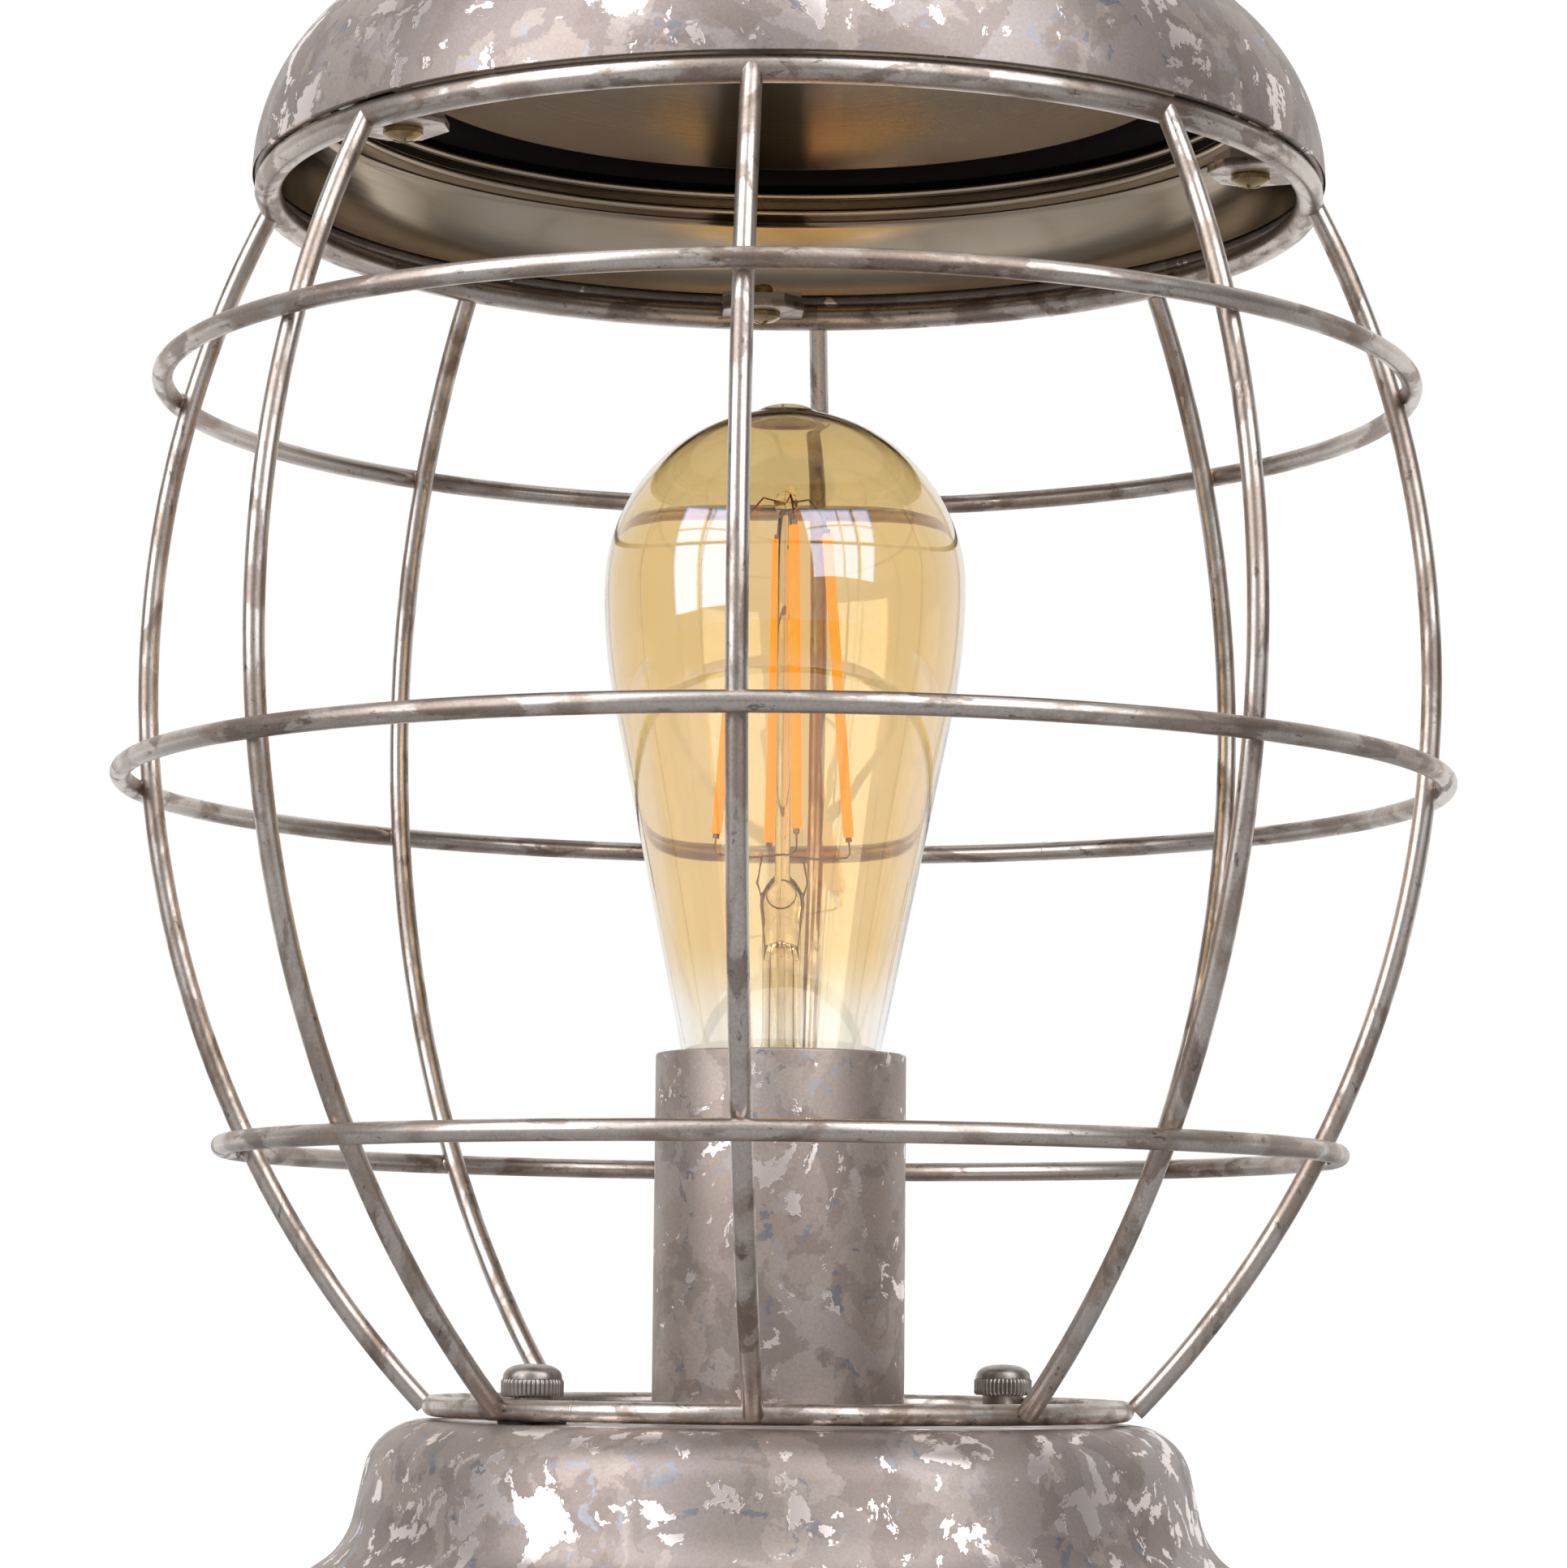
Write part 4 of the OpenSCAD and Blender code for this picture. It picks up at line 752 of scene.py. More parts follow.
def screw_thread(radius, depth, pitch, low, high, turns_sides=40):
    """A rolled round thread as a strip that winds up a cap: radius at its crest, depth to its root."""
    points, faces = [], []
    across = 8
    turns = (high - low) / pitch
    count = int(turns * turns_sides)
    for i in range(count + 1):
        angle = 2 * math.pi * i / turns_sides
        fade = min(1.0, i / 12, (count - i) / 12)
        for k in range(across + 1):
            share = k / across
            wave = 0.5 - 0.5 * math.cos(2 * math.pi * share)
            r = radius - depth + depth * wave * fade
            z = low + pitch * (i / turns_sides + share)
            points.append((r * math.cos(angle), r * math.sin(angle), z))
    faces = grid_faces(count + 1, across + 1, False, False)
    return points, faces


# Pieces

class LANTERN_OT_stage(bpy.types.Operator):
    """Builds the camera, the pale floor, the soft boxes and the world"""

    bl_idname = "lantern.stage"
    bl_label = "Studio"

    def execute(self, context):
        build_camera(context.scene)
        build_floor(context.scene)
        build_lights(context.scene)
        build_world(context.scene)
        context.scene.view_settings.view_transform = "Standard"
        return {"FINISHED"}


def build_camera(scene):
    """The photograph's camera, fitted to the cage's rings: 0.82 m off, low down and tilted up."""
    photo_px, focal_px, sensor_mm = 1932, 5726, 36
    distance, height, azimuth, pitch, roll = 0.817, 0.07265, 3.7, 6.65, 0.524
    data = bpy.data.cameras.new("camera")
    data.sensor_width = sensor_mm
    data.lens = sensor_mm * focal_px / photo_px
    data.clip_start = 0.01
    camera = bpy.data.objects.new("camera", data)
    scene.collection.objects.link(camera)
    a = math.radians(azimuth)
    camera.matrix_world = (
        Matrix.Translation((distance * math.sin(a), -distance * math.cos(a), height))
        @ Matrix.Rotation(a, 4, "Z") @ Matrix.Rotation(math.radians(90 + pitch), 4, "X")
        @ Matrix.Rotation(math.radians(roll), 4, "Z"))
    scene.camera = camera


def seen_rays(tree, mirrored):
    """1 for camera and transmitted rays, mirrored for glossy ones, and 0 for the rest."""
    path = add(tree, "ShaderNodeLightPath")
    clear = add(tree, "ShaderNodeMath", {0: path.outputs["Is Camera Ray"],
                                         1: path.outputs["Is Transmission Ray"]}, operation="MAXIMUM")
    glossy = add(tree, "ShaderNodeMath", {0: path.outputs["Is Glossy Ray"], 1: mirrored},
                 operation="MULTIPLY")
    return add(tree, "ShaderNodeMath", {0: clear.outputs[0], 1: glossy.outputs[0]},
               operation="MAXIMUM").outputs[0]


def build_floor(scene):
    """A pale seamless floor, painted board: rays that see it get white less the object's shadow."""
    half = 6.0
    mesh = bpy.data.meshes.new("floor")
    mesh.from_pydata([(-half, -half, 0), (half, -half, 0), (half, half, 0), (-half, half, 0)], [],
                     [(0, 1, 2, 3)])
    material, tree, shader = new_material("painted_board", {"Roughness": 0.9, "Specular IOR Level": 0.1})
    ways = add(tree, "ShaderNodeSeparateXYZ", {0: add(tree, "ShaderNodeTexCoord").outputs["Object"]})
    behind = add(tree, "ShaderNodeMapRange", {"Value": ways.outputs["Y"], "From Min": 0.1, "From Max": 0.8})
    seen = seen_rays(tree, behind.outputs["Result"])
    glow = add(tree, "ShaderNodeMath", {0: seen, 1: 0.85}, operation="MULTIPLY")
    # What shines in the object mirrors a dim table, as in a studio with only its backdrop lit
    glossy = add(tree, "ShaderNodeLightPath").outputs["Is Glossy Ray"]
    near = add(tree, "ShaderNodeMath", {0: 1.0, 1: behind.outputs["Result"]}, operation="SUBTRACT")
    dim = add(tree, "ShaderNodeMath", {0: glossy, 1: near.outputs[0]}, operation="MULTIPLY").outputs[0]
    paint = layered(tree, rgba(linear("b8b8b8")), [(dim, 1.0, linear("a4a4a4"))])
    tree.links.new(paint, shader.inputs["Base Color"])
    shader.inputs["Emission Color"].default_value = (1, 1, 1, 1)
    tree.links.new(glow.outputs[0], shader.inputs["Emission Strength"])
    mesh.materials.append(material)
    floor = bpy.data.objects.new("floor", mesh)
    scene.collection.objects.link(floor)


def soft_box(scene, name, azimuth, elevation, distance, width, below, above, radiance, aim):
    """A rectangular soft box that faces the lantern, at an azimuth from the camera's side. It reaches
    so far below and above the line to the lantern, and a cross of bars splits its cloth into panels."""
    a, e = math.radians(azimuth), math.radians(elevation)
    way = Vector((math.sin(a) * math.cos(e), -math.cos(a) * math.cos(e), math.sin(e)))
    turn = way.to_track_quat("Z", "Y")
    bar, bar_up = 0.02, 0.1
    wide = (width - bar) / 2
    panels = [(below + bar_up - bar / 2, (bar_up - bar / 2 - below) / 2),
              (above - bar_up - bar / 2, (above + bar_up + bar / 2) / 2)]
    for side in (-1, 1):
        for panel, lift in panels:
            data = bpy.data.lights.new(name, "AREA")
            data.shape = "RECTANGLE"
            data.size = wide
            data.size_y = panel
            data.energy = radiance * math.pi * wide * panel
            data.color = linear("f4f7ff")
            lamp = bpy.data.objects.new(name, data)
            scene.collection.objects.link(lamp)
            lamp.rotation_mode = "QUATERNION"
            lamp.rotation_quaternion = turn
            lamp.location = Vector(aim) + way * distance + turn @ Vector((side * (wide + bar) / 2, lift, 0))
            lamp.visible_camera = False


def build_lights(scene):
    aim = (0, 0, 0.2)
    soft_box(scene, "left_box", -50, 24, 1.2, 0.9, 0.5, 0.9, 4.0, aim)
    soft_box(scene, "right_box", 41, 27, 1.2, 0.9, 0.45, 0.8, 3.2, aim)
    soft_box(scene, "top_box", 10, 82, 1.3, 1.2, 0.6, 0.6, 1.2, aim)


def build_world(scene):
    """White behind, a dim room at the sides and the front for reflections, and soft fill."""
    world = bpy.data.worlds.new("studio")
    scene.world = world
    world.use_nodes = True
    tree = world.node_tree
    tree.nodes.clear()
    path = add(tree, "ShaderNodeLightPath")
    way = add(tree, "ShaderNodeTexCoord").outputs["Generated"]
    ways = add(tree, "ShaderNodeSeparateXYZ", {0: way})
    behind = add(tree, "ShaderNodeMapRange", {"Value": ways.outputs["Y"], "From Min": 0.1,
                                              "From Max": 0.8, "To Min": 0.14, "To Max": 1.0})
    front = add(tree, "ShaderNodeMapRange", {"Value": ways.outputs["Y"], "From Min": -0.2,
                                             "From Max": -0.8, "To Min": 0.14, "To Max": 0.42})
    room = add(tree, "ShaderNodeMath", {0: behind.outputs["Result"], 1: front.outputs["Result"]},
               operation="MAXIMUM")
    shown = seen_rays(tree, room.outputs[0])
    fill = add(tree, "ShaderNodeMath", {0: 0.35, 1: path.outputs["Is Diffuse Ray"]}, operation="MULTIPLY")
    level = add(tree, "ShaderNodeMath", {0: shown, 1: fill.outputs[0]}, operation="MAXIMUM")
    back = add(tree, "ShaderNodeBackground", {"Color": (1, 1, 1, 1), "Strength": level.outputs[0]})
    add(tree, "ShaderNodeOutputWorld", {"Surface": back.outputs[0]})


class LANTERN_OT_shells(bpy.types.Operator):
    """Spins the base and the cap with their rolled rims, and the reflector inside the cap"""

    bl_idname = "lantern.shells"
    bl_label = "Spun shells"

    def execute(self, context):
        low = node_box("base_shell")[0].z
        base = place("base_skin", spun_shell("base_skin", low, 5.3), "base", "galvanised_steel",
                     ["base_shell"])
        hole = moved(turned([(0, -9), (5.0, -9), (5.0, 9), (0, 9)], 48, closed=False), inlet_matrix())
        cut_away(base, *hole)
        low = node_box("cap_shell")[0].z
        # The cap takes the sheet's darker copy, with painted shade
        place("cap_skin", spun_shell("cap_skin", low, 3.1), "cage", "galvanised_steel", ["cap_shell"],
              variant="cap_sheet_painted_shade")
        dish = mesh_of("reflector_dish", *turned(reflector_profile(low), 192))
        place("reflector_dish", dish, "cage", "polished_steel", ["cap_reflector"])
        return {"FINISHED"}


class LANTERN_OT_tube(bpy.types.Operator):
    """Draws the socket tube with its turned lip"""

    bl_idname = "lantern.tube"
    bl_label = "Socket tube"

    def execute(self, context):
        low, high = node_box("socket_tube")
        radius, wall = high.x, 1.0
        lip = arc((radius - wall / 2, high.z - wall / 2), wall / 2, 0, 180, 8)
        foot = arc((radius - 1.2, low.z + 1.2), 1.2, 270, 360, 5)
        profile = foot + lip + [(radius - wall, low.z + wall), (5.2, low.z + wall), (5.2, low.z)]
        # The tube takes the sheet's lighter copy, with painted light
        place("socket_sleeve", mesh_of("socket_sleeve", *turned(profile, 128)), "base",
              "galvanised_steel", ["socket_tube"], variant="tube_sheet_painted_light")
        return {"FINISHED"}


class LANTERN_OT_uprights(bpy.types.Operator):
    """Bends the eight uprights and cuts their ends square"""

    bl_idname = "lantern.uprights"
    bl_label = "Uprights"

    def execute(self, context):
        centre, radius, start, end = upright_arc()
        line = arc(centre, radius, start, end, 72)
        for index, name in enumerate(WIRES):
            turn = Matrix.Rotation(math.radians(-90 + 360 * index / len(WIRES)), 4, "Z")
            wire = swept([turn @ Vector((r, 0, z)) for r, z in line], WIRE_R, 20)
            place("upright_" + name[-1], mesh_of(name, *wire), "cage", "galvanised_wire", [name])
        return {"FINISHED"}


class LANTERN_OT_rings(bpy.types.Operator):
    """Bends the hoops and rings, each with the seam where its wire is butted"""

    bl_idname = "lantern.rings"
    bl_label = "Hoops and rings"

    def execute(self, context):
        seam = context.scene.lantern_sizes.seam_width / MM
        seam_angles = {"low_ring": -119.5, "top_ring": 60, "low_hoop": 112, "middle_hoop": 67,
                       "top_hoop": 157}
        for name, seam_angle in seam_angles.items():
            ring, wire, height = ring_size(name)
            path = circle(ring, 256, height)
            a = math.radians(seam_angle)
            ahead = Vector((-math.sin(a), math.cos(a), 0))
            middle = Vector((ring * math.cos(a), ring * math.sin(a), height))
            half = seam / 2
            collar = [middle + ahead * (half * t) for t in (-1.0, -0.35, 0.0, 0.35, 1.0)]
            bead = swept(collar, wire, 24)
            grown = (0.985, 1.03, 0.99, 1.03, 0.985)
            points = [collar[i // 24] + (p - collar[i // 24]) * grown[i // 24]
                      for i, p in enumerate(bead[0])]
            part = joined(swept(path, wire, 20, closed=True), (points, bead[1]))
            place(name + "_wire", mesh_of(name, *part), "cage", "galvanised_wire", [name],
                  variant="ring_wire")
        return {"FINISHED"}


class LANTERN_OT_welds(bpy.types.Operator):
    """Lays the weld metal where uprights meet rings and hoops"""

    bl_idname = "lantern.welds"
    bl_label = "Welds"

    def execute(self, context):
        bead = context.scene.lantern_sizes.weld_bead / MM
        centre, radius, _, _ = upright_arc()
        parts = []
        for index in range(len(WIRES)):
            turn = Matrix.Rotation(math.radians(-90 + 360 * index / len(WIRES)), 4, "Z")
            for ring_index, name in enumerate(("low_ring", "low_hoop", "middle_hoop", "top_hoop",
                                               "top_ring")):
                ring, _, height = ring_size(name)
                upright = centre[0] + math.sqrt(radius ** 2 - (height - centre[1]) ** 2)
                middle = turn @ Vector(((ring + upright) / 2 + (ring - upright) * 0.05, 0, height))
                seed = 3.1 * index + 7.7 * ring_index
                crossing = "hoop" in name
                size = (0.55, bead * 1.15, bead * 1.15) if crossing else (1.0, bead * 1.35, 1.25)
                parts.append(blob(middle, size, turn.to_3x3(), seed))
        place("weld_beads", mesh_of("weld_beads", *joined(*parts)), "cage", "galvanised_wire", sharp=180)
        return {"FINISHED"}


class LANTERN_OT_thumb_nuts(bpy.types.Operator):
    """Turns the two thumb nuts: bore, waist, knurled band and dome"""

    bl_idname = "lantern.thumb_nuts"
    bl_label = "Thumb nuts"

    def execute(self, context):
        ridges, depth = 40, 0.3
        for name in ("thumb_nut_right", "thumb_nut_left"):
            low, high = node_box(name)
            centre = (low + high) / 2
            radius = (high.x - low.x) / 2
            # The foot stands a hair above the tab's face, so that the two don't lie in one plane
            foot, top = low.z + 0.02, high.z
            band = ring_size("low_ring")[2] + ring_size("low_ring")[1] + 0.3
            band_top = band + 3.0
            dome_h = top - band_top
            dome_foot = radius - depth
            profile = [(0, band_top + 0.8), (2.05, band_top + 0.8), (2.05, foot), (3.5, foot),
                       (3.65, foot + 0.15), (3.65, band - 0.1), (radius - 0.9, band),
                       (radius - 0.35, band), (radius, band + 0.35), (radius, band + 0.9),
                       (radius, band_top - 0.9), (radius, band_top - 0.35), (radius - 0.3, band_top),
                       (dome_foot + 0.1, band_top + 0.02)]
            knurled = range(8, 12)
            # The dome is fuller than a ball, with steep sides
            quarter = [math.radians(90 * i / 14) for i in range(15)]
            fullness = 0.8
            profile += [(dome_foot * math.cos(q) ** fullness,
                         band_top + 0.02 + (dome_h - 0.02) * math.sin(q) ** fullness) for q in quarter]
            profile[-1] = (0, top)

            def knurl(index, angle):
                wave = abs((angle * ridges / (2 * math.pi)) % 1 - 0.5) * 2
                return -depth * (1 - min(1.0, 1.5 * wave)) if index in knurled else 0

            part = turned(profile, ridges * 6, closed=False, ripple=knurl)
            part = moved(part, Matrix.Translation((centre.x, centre.y, 0)))
            place(name + "_body", mesh_of(name, *part), name, "nickel", [name], sharp=50)
        return {"FINISHED"}


class LANTERN_OT_tabs(bpy.types.Operator):
    """Stamps the tabs inside both rings, and drives the brass screws under the upper ones"""

    bl_idname = "lantern.tabs"
    bl_label = "Tabs and screws"

    def execute(self, context):
        bevel = context.scene.lantern_sizes.plate_bevel / MM
        nut_r, tab_w, hole_r = 54.5, 12.0, 2.2
        low, high = (v.z for v in node_box("low_tabs"))
        thick = high - low
        edge = ring_size("low_ring")[0] - ring_size("low_ring")[1] + 0.7
        outline = ([(edge, -tab_w / 2), (edge, tab_w / 2)]
                   + arc((nut_r, 0), tab_w / 2, 90, 270, 24))
        tab = plate("low_tab", outline, [(nut_r, 0, hole_r)], low, thick, bevel)
        both = [moved(tab, Matrix.Rotation(math.radians(a), 4, "Z")) for a in (45, 225)]
        place("low_tab_plates", mesh_of("low_tab_plates", *joined(*both)), "cage", "galvanised_wire",
              ["low_tabs"])

        screw_r, width, length = 85.0, 15.6, 14.5
        low, high = (v.z for v in node_box("top_tabs"))
        thick = high - low
        ring, wire, _ = ring_size("top_ring")
        edge, inner, corner = ring - wire + 0.6, ring - length, width / 4
        outline = [(edge, -width / 2), (edge, width / 2), (inner + corner, width / 2),
                   (inner, width / 2 - corner), (inner, corner - width / 2), (inner + corner, -width / 2)]
        tab = plate("top_tab", outline, [(screw_r, 0, hole_r)], low, thick, bevel)
        angles = (97, 224, 344)
        turns = [Matrix.Rotation(math.radians(a), 4, "Z") for a in angles]
        tabs = joined(*[moved(tab, t) for t in turns])
        place("top_tab_plates", mesh_of("top_tab_plates", *tabs), "cage", "galvanised_wire", ["top_tabs"])

        head_low, screw_top = (v.z for v in node_box("cap_screws"))
        head_r, shank = 3.4, 1.95
        dome = 0.8 * 2 * head_r
        profile = [(0, screw_top), (shank - 0.4, screw_top), (shank, screw_top - 0.5), (shank, low),
                   (head_r - 0.15, low), (head_r, low - 0.2)]
        steps = 8
        lift = dome - math.sqrt(dome ** 2 - head_r ** 2)
        profile += [(head_r * (1 - i / steps), head_low + lift * (1 - i / steps) ** 2)
                    for i in range(steps + 1)]
        head = turned(profile, 48, closed=False)
        slot_w, slot_l, slot_d = 0.95, 3.9, 1.25
        screws = []
        for index, turn in enumerate(turns):
            piece = bpy.data.objects.new("screw", mesh_of("screw", *head))
            context.scene.collection.objects.link(piece)
            for quarter in (0, 90):
                spin = Matrix.Rotation(math.radians(quarter + 20 + 37 * index), 4, "Z")
                arm = cross_arm(slot_w, slot_l, head_low - 0.5, head_low + slot_d)
                cut_away(piece, *moved(arm, spin))
            shape = ([v.co / MM for v in piece.data.vertices],
                     [tuple(p.vertices) for p in piece.data.polygons])
            screws.append(moved(shape, turn @ Matrix.Translation((screw_r, 0, 0))))
            bpy.data.objects.remove(piece)
        place("brass_screws", mesh_of("brass_screws", *joined(*screws)), "cage", "brass", ["cap_screws"])
        return {"FINISHED"}


def cross_arm(width, length, low, high):
    """One arm of a cross recess, narrower at its bottom."""
    taper = 0.55
    points = [(x * length / 2 * s, y * width / 2 * s, z)
              for z, s in ((low, 1.15), (high, taper)) for x, y in ((-1, -1), (1, -1), (1, 1), (-1, 1))]
    return points, [(3, 2, 1, 0), (4, 5, 6, 7), (0, 1, 5, 4), (1, 2, 6, 5), (2, 3, 7, 6), (3, 0, 4, 7)]


class LANTERN_OT_carrying_ring(bpy.types.Operator):
    """Bends the carrying ring and forges the eye post that holds it"""

    bl_idname = "lantern.carrying_ring"
    bl_label = "Carrying ring"

    def execute(self, context):
        joint = next(j for j in frame["joints"] if j["child"] == "carrying_ring")
        hinge = Vector(joint["pos_m"]) / MM
        low, high = node_box("carrying_ring")
        ring_r = (high.x - low.x) / 2
        wire = 2.5
        ring_r -= wire
        tilt = math.asin((hinge.z - wire - low.z) / (2 * ring_r))
        turn = (Matrix.Translation(hinge) @ Matrix.Rotation(-tilt, 4, "X")
                @ Matrix.Translation((0, ring_r, 0)))
        path = circle(ring_r, 160)
        part = moved(swept(path, wire, 24, closed=True), turn)
        place("bail", mesh_of("bail", *part), "carrying_ring", "galvanised_wire", ["carrying_ring"])

        post_low, post_high = node_box("ring_post")
        top = node_box("cap_shell")[1].z
        section = 2.5
        eye = post_high.z - hinge.z - section
        collar_r, collar_h, post_r = post_high.x, 3.0, 3.0
        profile = ([(0, post_low.z), (post_r - 0.5, post_low.z), (post_r, post_low.z + 0.5), (post_r, top)]
                   + [(collar_r - 0.1, top)] + arc((collar_r - 3.0, top), 3.0, 0, 90, 8)
                   + [(4.4, top + collar_h), (3.4, top + collar_h + 0.5), (2.9, top + collar_h + 1.2),
                      (0, top + collar_h + 1.2)])
        loop = [(0, hinge.y + eye * math.cos(2 * math.pi * k / 96),
                 hinge.z + eye * math.sin(2 * math.pi * k / 96)) for k in range(96)]
        part = joined(turned(profile, 96, closed=False), swept(loop, section, 20, closed=True))
        place("eye_post", mesh_of("eye_post", *part), "cage", "galvanised_wire", ["ring_post"])
        return {"FINISHED"}


def bulb_outline(inset):
    """Outline of the bulb from its neck in the cap up to its crown, inset from the outer face."""
    contact = node_box("bulb_contact")[0].z
    belly_r = node_box("bulb_glass")[1].x
    belly_h, flank_r, slope, turn_h, turn_r = 114.3, 110.0, 11.6, 31.0, 6.0
    flank = Vector((belly_r - flank_r, belly_h))
    way = Vector((math.cos(math.radians(slope)), -math.sin(math.radians(slope))))
    end = flank + way * flank_r
    edge = Vector((end.x - (end.y - turn_h) * math.tan(math.radians(slope)), turn_h))
    turn = edge - way * turn_r
    neck_low = node_box("bulb_glass")[0].z - contact
    neck_r = 26.1 / 2 - 1.2
    outline = ([(neck_r - inset, neck_low), (neck_r - inset, turn.y - turn_r + inset - 0.6)]
               + arc(turn, turn_r - inset, -78, -slope, 14)
               + arc(flank, flank_r - inset, -slope, 0, 26)
               + arc((0, belly_h), belly_r - inset, 3, 86, 36))
    return [(r, z + contact) for r, z in outline]


class LANTERN_OT_bulb_glass(bpy.types.Operator):
    """Blows the pear-shaped bulb and draws out its sealed tip"""

    bl_idname = "lantern.bulb_glass"
    bl_label = "Bulb glass"

    def execute(self, context):
        wall = context.scene.lantern_sizes.glass_wall / MM
        top = node_box("bulb_glass")[1].z
        outer, inner = bulb_outline(0), bulb_outline(wall)
        tip_r, tip_h = 5.6, 1.2
        crown = top - tip_h

        def with_tip(outline, lift):
            shaped = []
            for r, z in outline:
                if z > crown - 5 and r < 2 * tip_r:
                    z += lift * math.exp(-(r / tip_r) ** 4)
                shaped.append((r, z))
            return shaped

        outer = with_tip(outer, tip_h) + [(1.2, top - 0.02), (0, top)]
        inner = inner + [(1.2, crown - wall + 0.01), (0, crown - wall)]
        profile = outer + inner[::-1]
        points, faces = turned(profile, 160, closed=True)
        place("bulb_envelope", mesh_of("bulb_envelope", points, faces), "bulb", "amber_glass",
              ["bulb_glass"], sharp=60)
        return {"FINISHED"}


class LANTERN_OT_filaments(bpy.types.Operator):
    """Mounts the filament sticks on their glass foot with fine wires"""

    bl_idname = "lantern.filaments"
    bl_label = "Filaments and stem"

    def execute(self, context):
        contact = node_box("bulb_contact")[0].z
        low_r, high_r, low_h, high_h, phase, count = 12.0, 7.5, 69.5, 125.5, 15.0, 4
        stick_r, lead_r = 0.95, 0.17
        sticks, caps, leads = [], [], []
        top_h, cross_h, bead_h = high_h + 4.5, low_h - 2.8, 58.7
        for i in range(count):
            a = math.radians(phase + 360 * i / count)
            way = Vector((math.cos(a), math.sin(a), 0))
            foot = way * low_r + Vector((0, 0, contact + low_h))
            head = way * high_r + Vector((0, 0, contact + high_h))
            run = (head - foot).normalized()
            inner = [foot + run * 1.2 + (head - foot - run * 2.4) * t / 12 for t in range(13)]
            sticks.append(swept(inner, stick_r, 16, round_ends=0.5))
            caps.append(swept([foot, foot + run * 1.6], 0.55, 10))
            caps.append(swept([head - run * 1.6, head], 0.55, 10))
            knee = way * (low_r + 0.2) + Vector((0, 0, contact + cross_h))
            hub = Vector((0, 0, contact + cross_h + 0.2))
            leads.append(swept([foot + run * 0.4, knee + Vector((0, 0, 0.8)), knee - way * 0.5,
                                (knee + hub) / 2 - Vector((0, 0, 0.5)), hub], lead_r, 8))
            crown = Vector((0, 0, contact + top_h))
            bend = way * high_r * 0.55 + Vector((0, 0, contact + top_h + 0.7))
            leads.append(swept([head - run * 0.4, head + Vector((0, 0, 1.8)) - way * 0.6, bend,
                                crown + way * 0.8], lead_r, 8))
        for side in (-1, 1):
            start = Vector((side * 2.2, 0, contact + bead_h - 34))
            leads.append(swept([start, start + Vector((0, 0, 26)),
                                Vector((side * 3.1, 0, contact + bead_h - 1)),
                                Vector((side * 4.4, 0.6 * side, contact + bead_h + 3.2)),
                                Vector((side * 3.6, 0, contact + cross_h))], lead_r, 8))
        # Getter wire: a small open loop beside the bead
        angles = [math.radians(-200 + 290 * k / 24) for k in range(25)]
        loop = [Vector((2.6 * math.cos(t), 0.8 * math.sin(t) - 2.6, contact + bead_h + 1 + 2.6 * math.sin(t)))
                for t in angles]
        leads.append(swept(loop, lead_r * 0.9, 8))
        place("filament_sticks", mesh_of("filament_sticks", *joined(*sticks)), "bulb", "phosphor",
              ["bulb_filaments"], sharp=60)
        place("lead_wires", mesh_of("lead_wires", *joined(*(caps + leads))), "bulb", "nickel_wire",
              ["bulb_wires"], sharp=60)

        flare_low = node_box("bulb_stem")[0].z - contact
        tube_r, bead_r, rod_r = 3.4, 4.0, 1.3
        profile = [(11.0, flare_low), (11.0, flare_low + 0.6), (7.4, flare_low + 4), (4.6, flare_low + 9),
                   (tube_r, flare_low + 14), (tube_r, bead_h - 5.5), (tube_r + 0.25, bead_h - 3.4),
                   (bead_r, bead_h - 0.8), (bead_r - 0.2, bead_h + 1.2), (2.6, bead_h + 3.2),
                    (rod_r, bead_h + 4.6),
                   (rod_r, top_h - 2), (1.9, top_h - 1.0), (2.2, top_h), (1.7, top_h + 1.4),
                   (0, top_h + 2.2)]
        hollow = [(0, bead_h - 7), (2.0, bead_h - 8), (2.4, bead_h - 11), (2.4, flare_low + 14),
                  (3.6, flare_low + 9), (6.4, flare_low + 4), (10.0, flare_low)]

        def pinch(index, angle):
            return -0.9 * abs(math.sin(angle)) if index in (6, 7, 8, 9) else 0

        profile = [(r, z + contact) for r, z in profile + hollow]
        place("stem_glass", mesh_of("stem_glass", *turned(profile, 64, closed=True, ripple=pinch)), "bulb",
              "clear_glass", ["bulb_stem"], sharp=70)
        return {"FINISHED"}


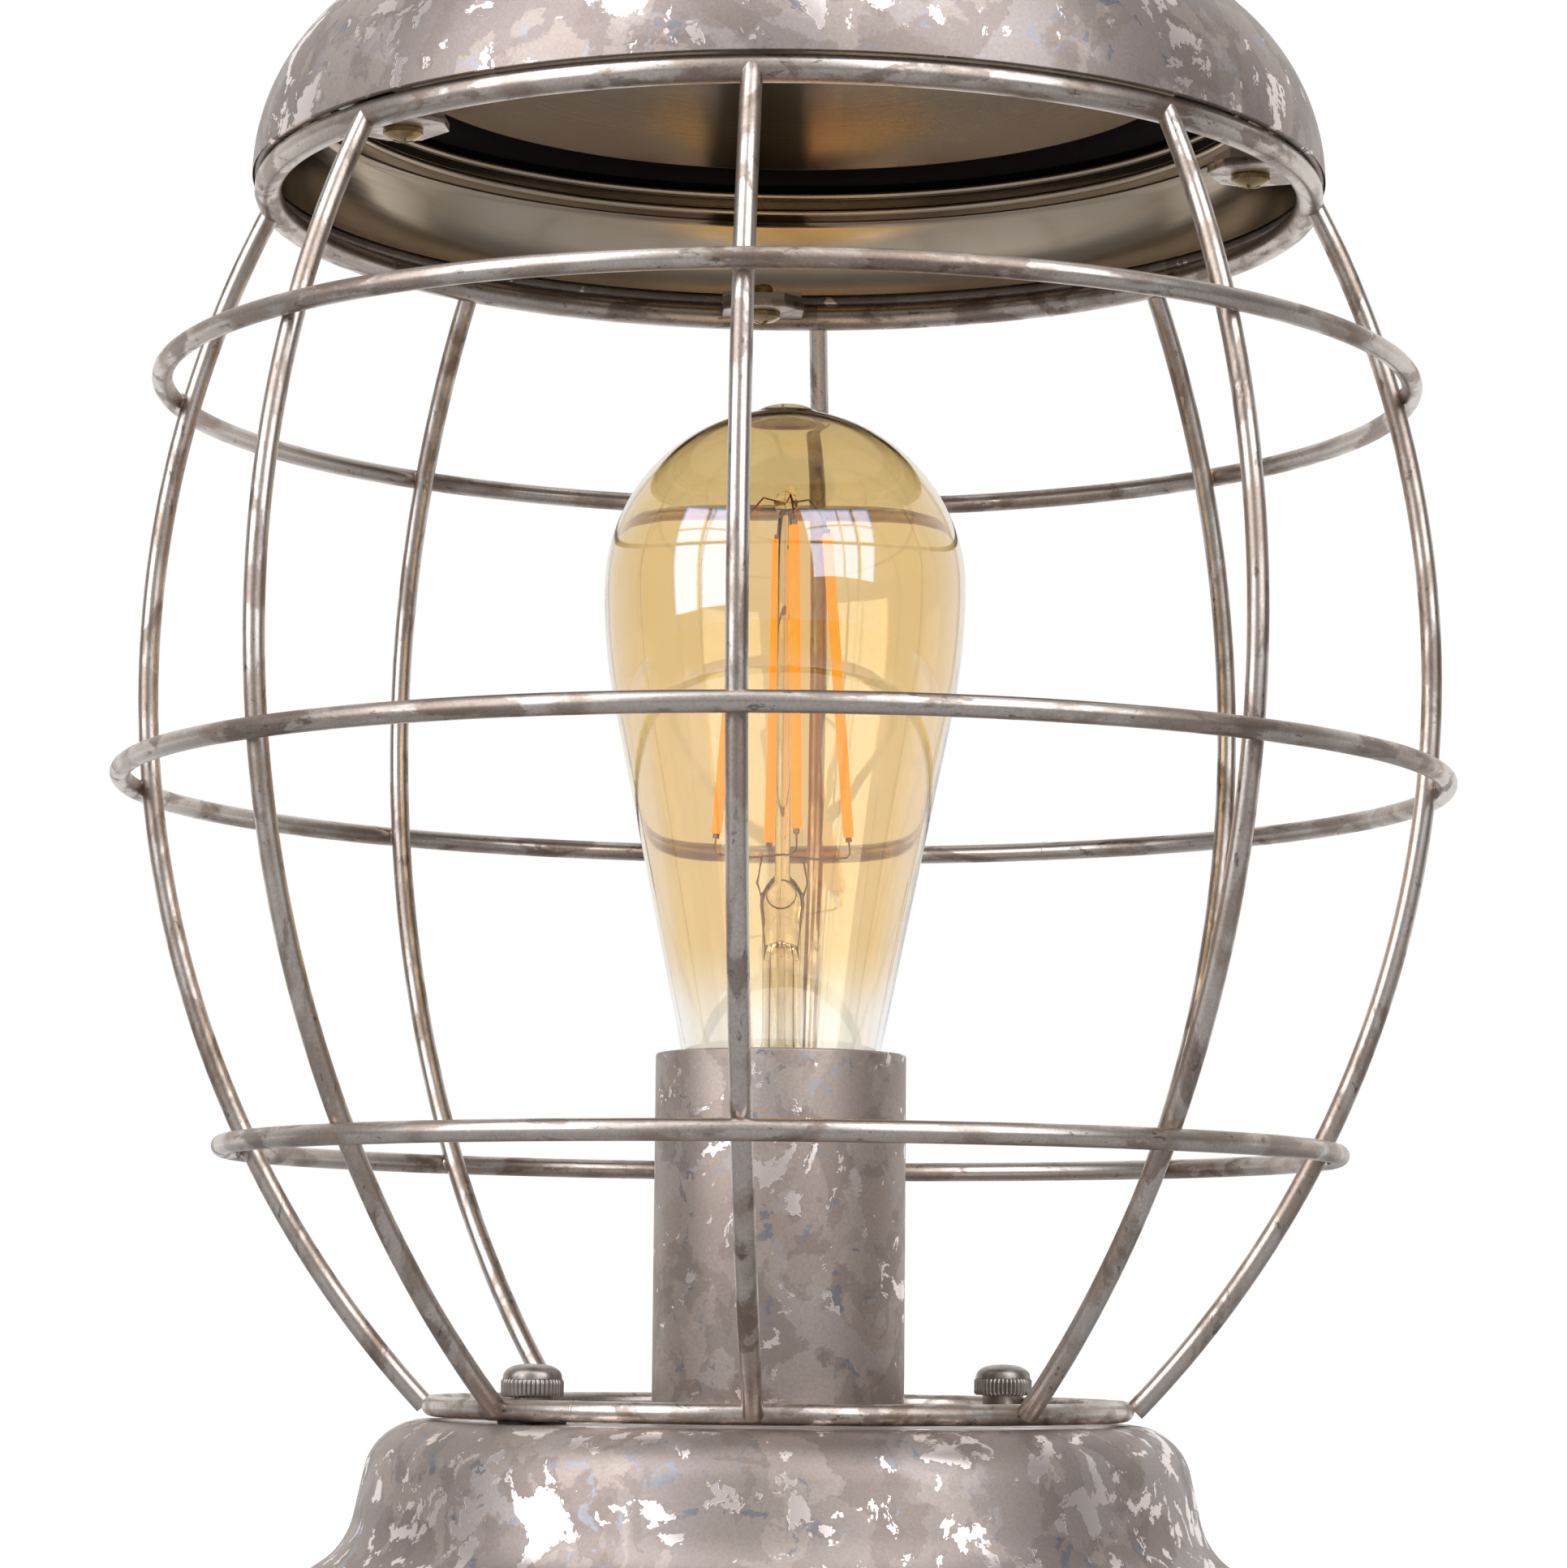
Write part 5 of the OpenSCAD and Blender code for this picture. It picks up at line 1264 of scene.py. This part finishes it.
class LANTERN_OT_bulb_cap(bpy.types.Operator):
    """Rolls the bulb's screw cap and moulds its insulator and contact button"""

    bl_idname = "lantern.bulb_cap"
    bl_label = "Bulb cap"

    def execute(self, context):
        pitch = context.scene.lantern_sizes.thread_pitch / MM
        contact = node_box("bulb_contact")[0].z
        low, high = node_box("bulb_cap")
        radius, root = high.x, high.x - 0.75
        inner = radius - 1.1
        profile = [(inner - 0.2, high.z), (radius - 0.2, high.z), (radius - 0.05, high.z - 0.3),
                   (radius - 0.05, high.z - 3.0), (root, high.z - 3.6), (root, contact + 6.2),
                   (root - 1.2, contact + 4.4), (radius - 2.5, low.z + 0.1), (radius - 2.9, low.z),
                   (inner, contact + 6.4)]
        thread = screw_thread(radius, radius - root, pitch, contact + 5.6, high.z - 3.6 - pitch)
        place("screw_cap", mesh_of("screw_cap", *joined(turned(profile, 96), thread)), "bulb",
              "plated_brass", ["bulb_cap"])
        dress("bulb_insulator", "black_glass")
        low, high = node_box("bulb_contact")
        button = [(0, low.z), (high.x - 1.4, low.z + 0.05), (high.x - 0.5, low.z + 0.4), (high.x, high.z),
                  (0, high.z)]
        place("contact_button", mesh_of("contact_button", *turned(button, 48, closed=False)), "bulb",
              "solder", ["bulb_contact"], sharp=60)
        return {"FINISHED"}


class LANTERN_OT_socket(bpy.types.Operator):
    """Finishes the socket: moulded body, brass screw shell and spring contact"""

    bl_idname = "lantern.socket"
    bl_label = "Socket"

    def execute(self, context):
        for name, slot in (("socket_body", "phenolic"), ("socket_screw_shell", "brass"),
                           ("socket_contact", "brass")):
            dress(name, slot)
        pitch = context.scene.lantern_sizes.thread_pitch / MM
        low, high = node_box("socket_screw_shell")
        bore = high.x - 0.5
        thread = screw_thread(bore - 0.05, 0.2, pitch, low.z + 4, high.z - 2 - pitch)
        place("shell_thread", mesh_of("shell_thread", *thread), "base", "brass")
        return {"FINISHED"}


class LANTERN_OT_foot(bpy.types.Operator):
    """Finishes the weight, presses the felt pad and moulds the cord bush"""

    bl_idname = "lantern.foot"
    bl_label = "Foot"

    def execute(self, context):
        dress("base_weight", "cast_iron")
        low, high = node_box("felt_pad")
        edge = 0.7
        profile = ([(0, low.z)] + arc((high.x - edge, low.z + edge), edge, 270, 360, 5)
                   + arc((high.x - edge / 2, high.z - edge / 2), edge / 2, 0, 90, 4) + [(0, high.z)])
        place("felt_disc", mesh_of("felt_disc", *turned(profile, 160, closed=False)), "base", "felt",
              ["felt_pad"])

        bore, flange, neck, thick, half = 3.3, 7.0, 4.9, 1.6, 2.5
        soft = 0.55
        outer = half - thick
        profile = ([(bore, -half + soft)] + arc((bore + soft, -half + soft), soft, 180, 270, 4)
                   + arc((flange - soft, -half + soft), soft, 270, 360, 4)
                   + [(flange, -outer), (neck, -outer), (neck, outer)]
                   + arc((flange - 0.8, half - 0.8), 0.8, 0, 90, 6)
                   + arc((bore + soft, half - soft), soft, 90, 180, 4))
        bush = moved(turned(profile, 64), inlet_matrix())
        place("cord_bush", mesh_of("cord_bush", *bush), "base", "rubber", ["cord_grommet"], sharp=50)
        return {"FINISHED"}


class LANTERN_OT_hardware(bpy.types.Operator):
    """Finishes the pipe, nuts, washers, studs and brackets as they come from the frame"""

    bl_idname = "lantern.hardware"
    bl_label = "Hidden hardware"

    def execute(self, context):
        for name in ("lamp_pipe", "pipe_nuts", "pipe_washers", "cage_studs", "cap_brackets",
                     "ring_post_washer", "ring_post_nut"):
            dress(name, "zinc_hardware")
        dress("fibre_washers", "fibre")
        return {"FINISHED"}


def dress(name, slot):
    """Gives a node that stays as it is its finish."""
    node = NODES[name]
    node.data.materials.clear()
    node.data.materials.append(finish(slot))


OPERATORS = [
    LANTERN_OT_stage, LANTERN_OT_shells, LANTERN_OT_tube, LANTERN_OT_uprights, LANTERN_OT_rings,
    LANTERN_OT_welds, LANTERN_OT_thumb_nuts, LANTERN_OT_tabs, LANTERN_OT_carrying_ring,
    LANTERN_OT_bulb_glass, LANTERN_OT_filaments, LANTERN_OT_bulb_cap, LANTERN_OT_socket,
    LANTERN_OT_foot, LANTERN_OT_hardware,
]


class LANTERN_PT_panel(bpy.types.Panel):
    """Sizes, colours and one button for each piece"""

    bl_idname = "LANTERN_PT_panel"
    bl_label = "Lantern"
    bl_space_type = "VIEW_3D"
    bl_region_type = "UI"
    bl_category = "Lantern"

    def draw(self, context):
        layout = self.layout
        for group in (context.scene.lantern_sizes, context.scene.lantern_colours):
            box = layout.box()
            for name in group.__annotations__:
                box.prop(group, name)
        for operator in OPERATORS:
            layout.operator(operator.bl_idname)


CLASSES = [LanternSizes, LanternColours, *OPERATORS, LANTERN_PT_panel]


def register():
    for cls in CLASSES:
        bpy.utils.register_class(cls)
    bpy.types.Scene.lantern_sizes = bpy.props.PointerProperty(type=LanternSizes)
    bpy.types.Scene.lantern_colours = bpy.props.PointerProperty(type=LanternColours)


def unregister():
    del bpy.types.Scene.lantern_colours
    del bpy.types.Scene.lantern_sizes
    for cls in reversed(CLASSES):
        bpy.utils.unregister_class(cls)


def main():
    register()
    for operator in OPERATORS:
        group, name = operator.bl_idname.split(".")
        getattr(getattr(bpy.ops, group), name)()


if __name__ == "__main__":
    main()
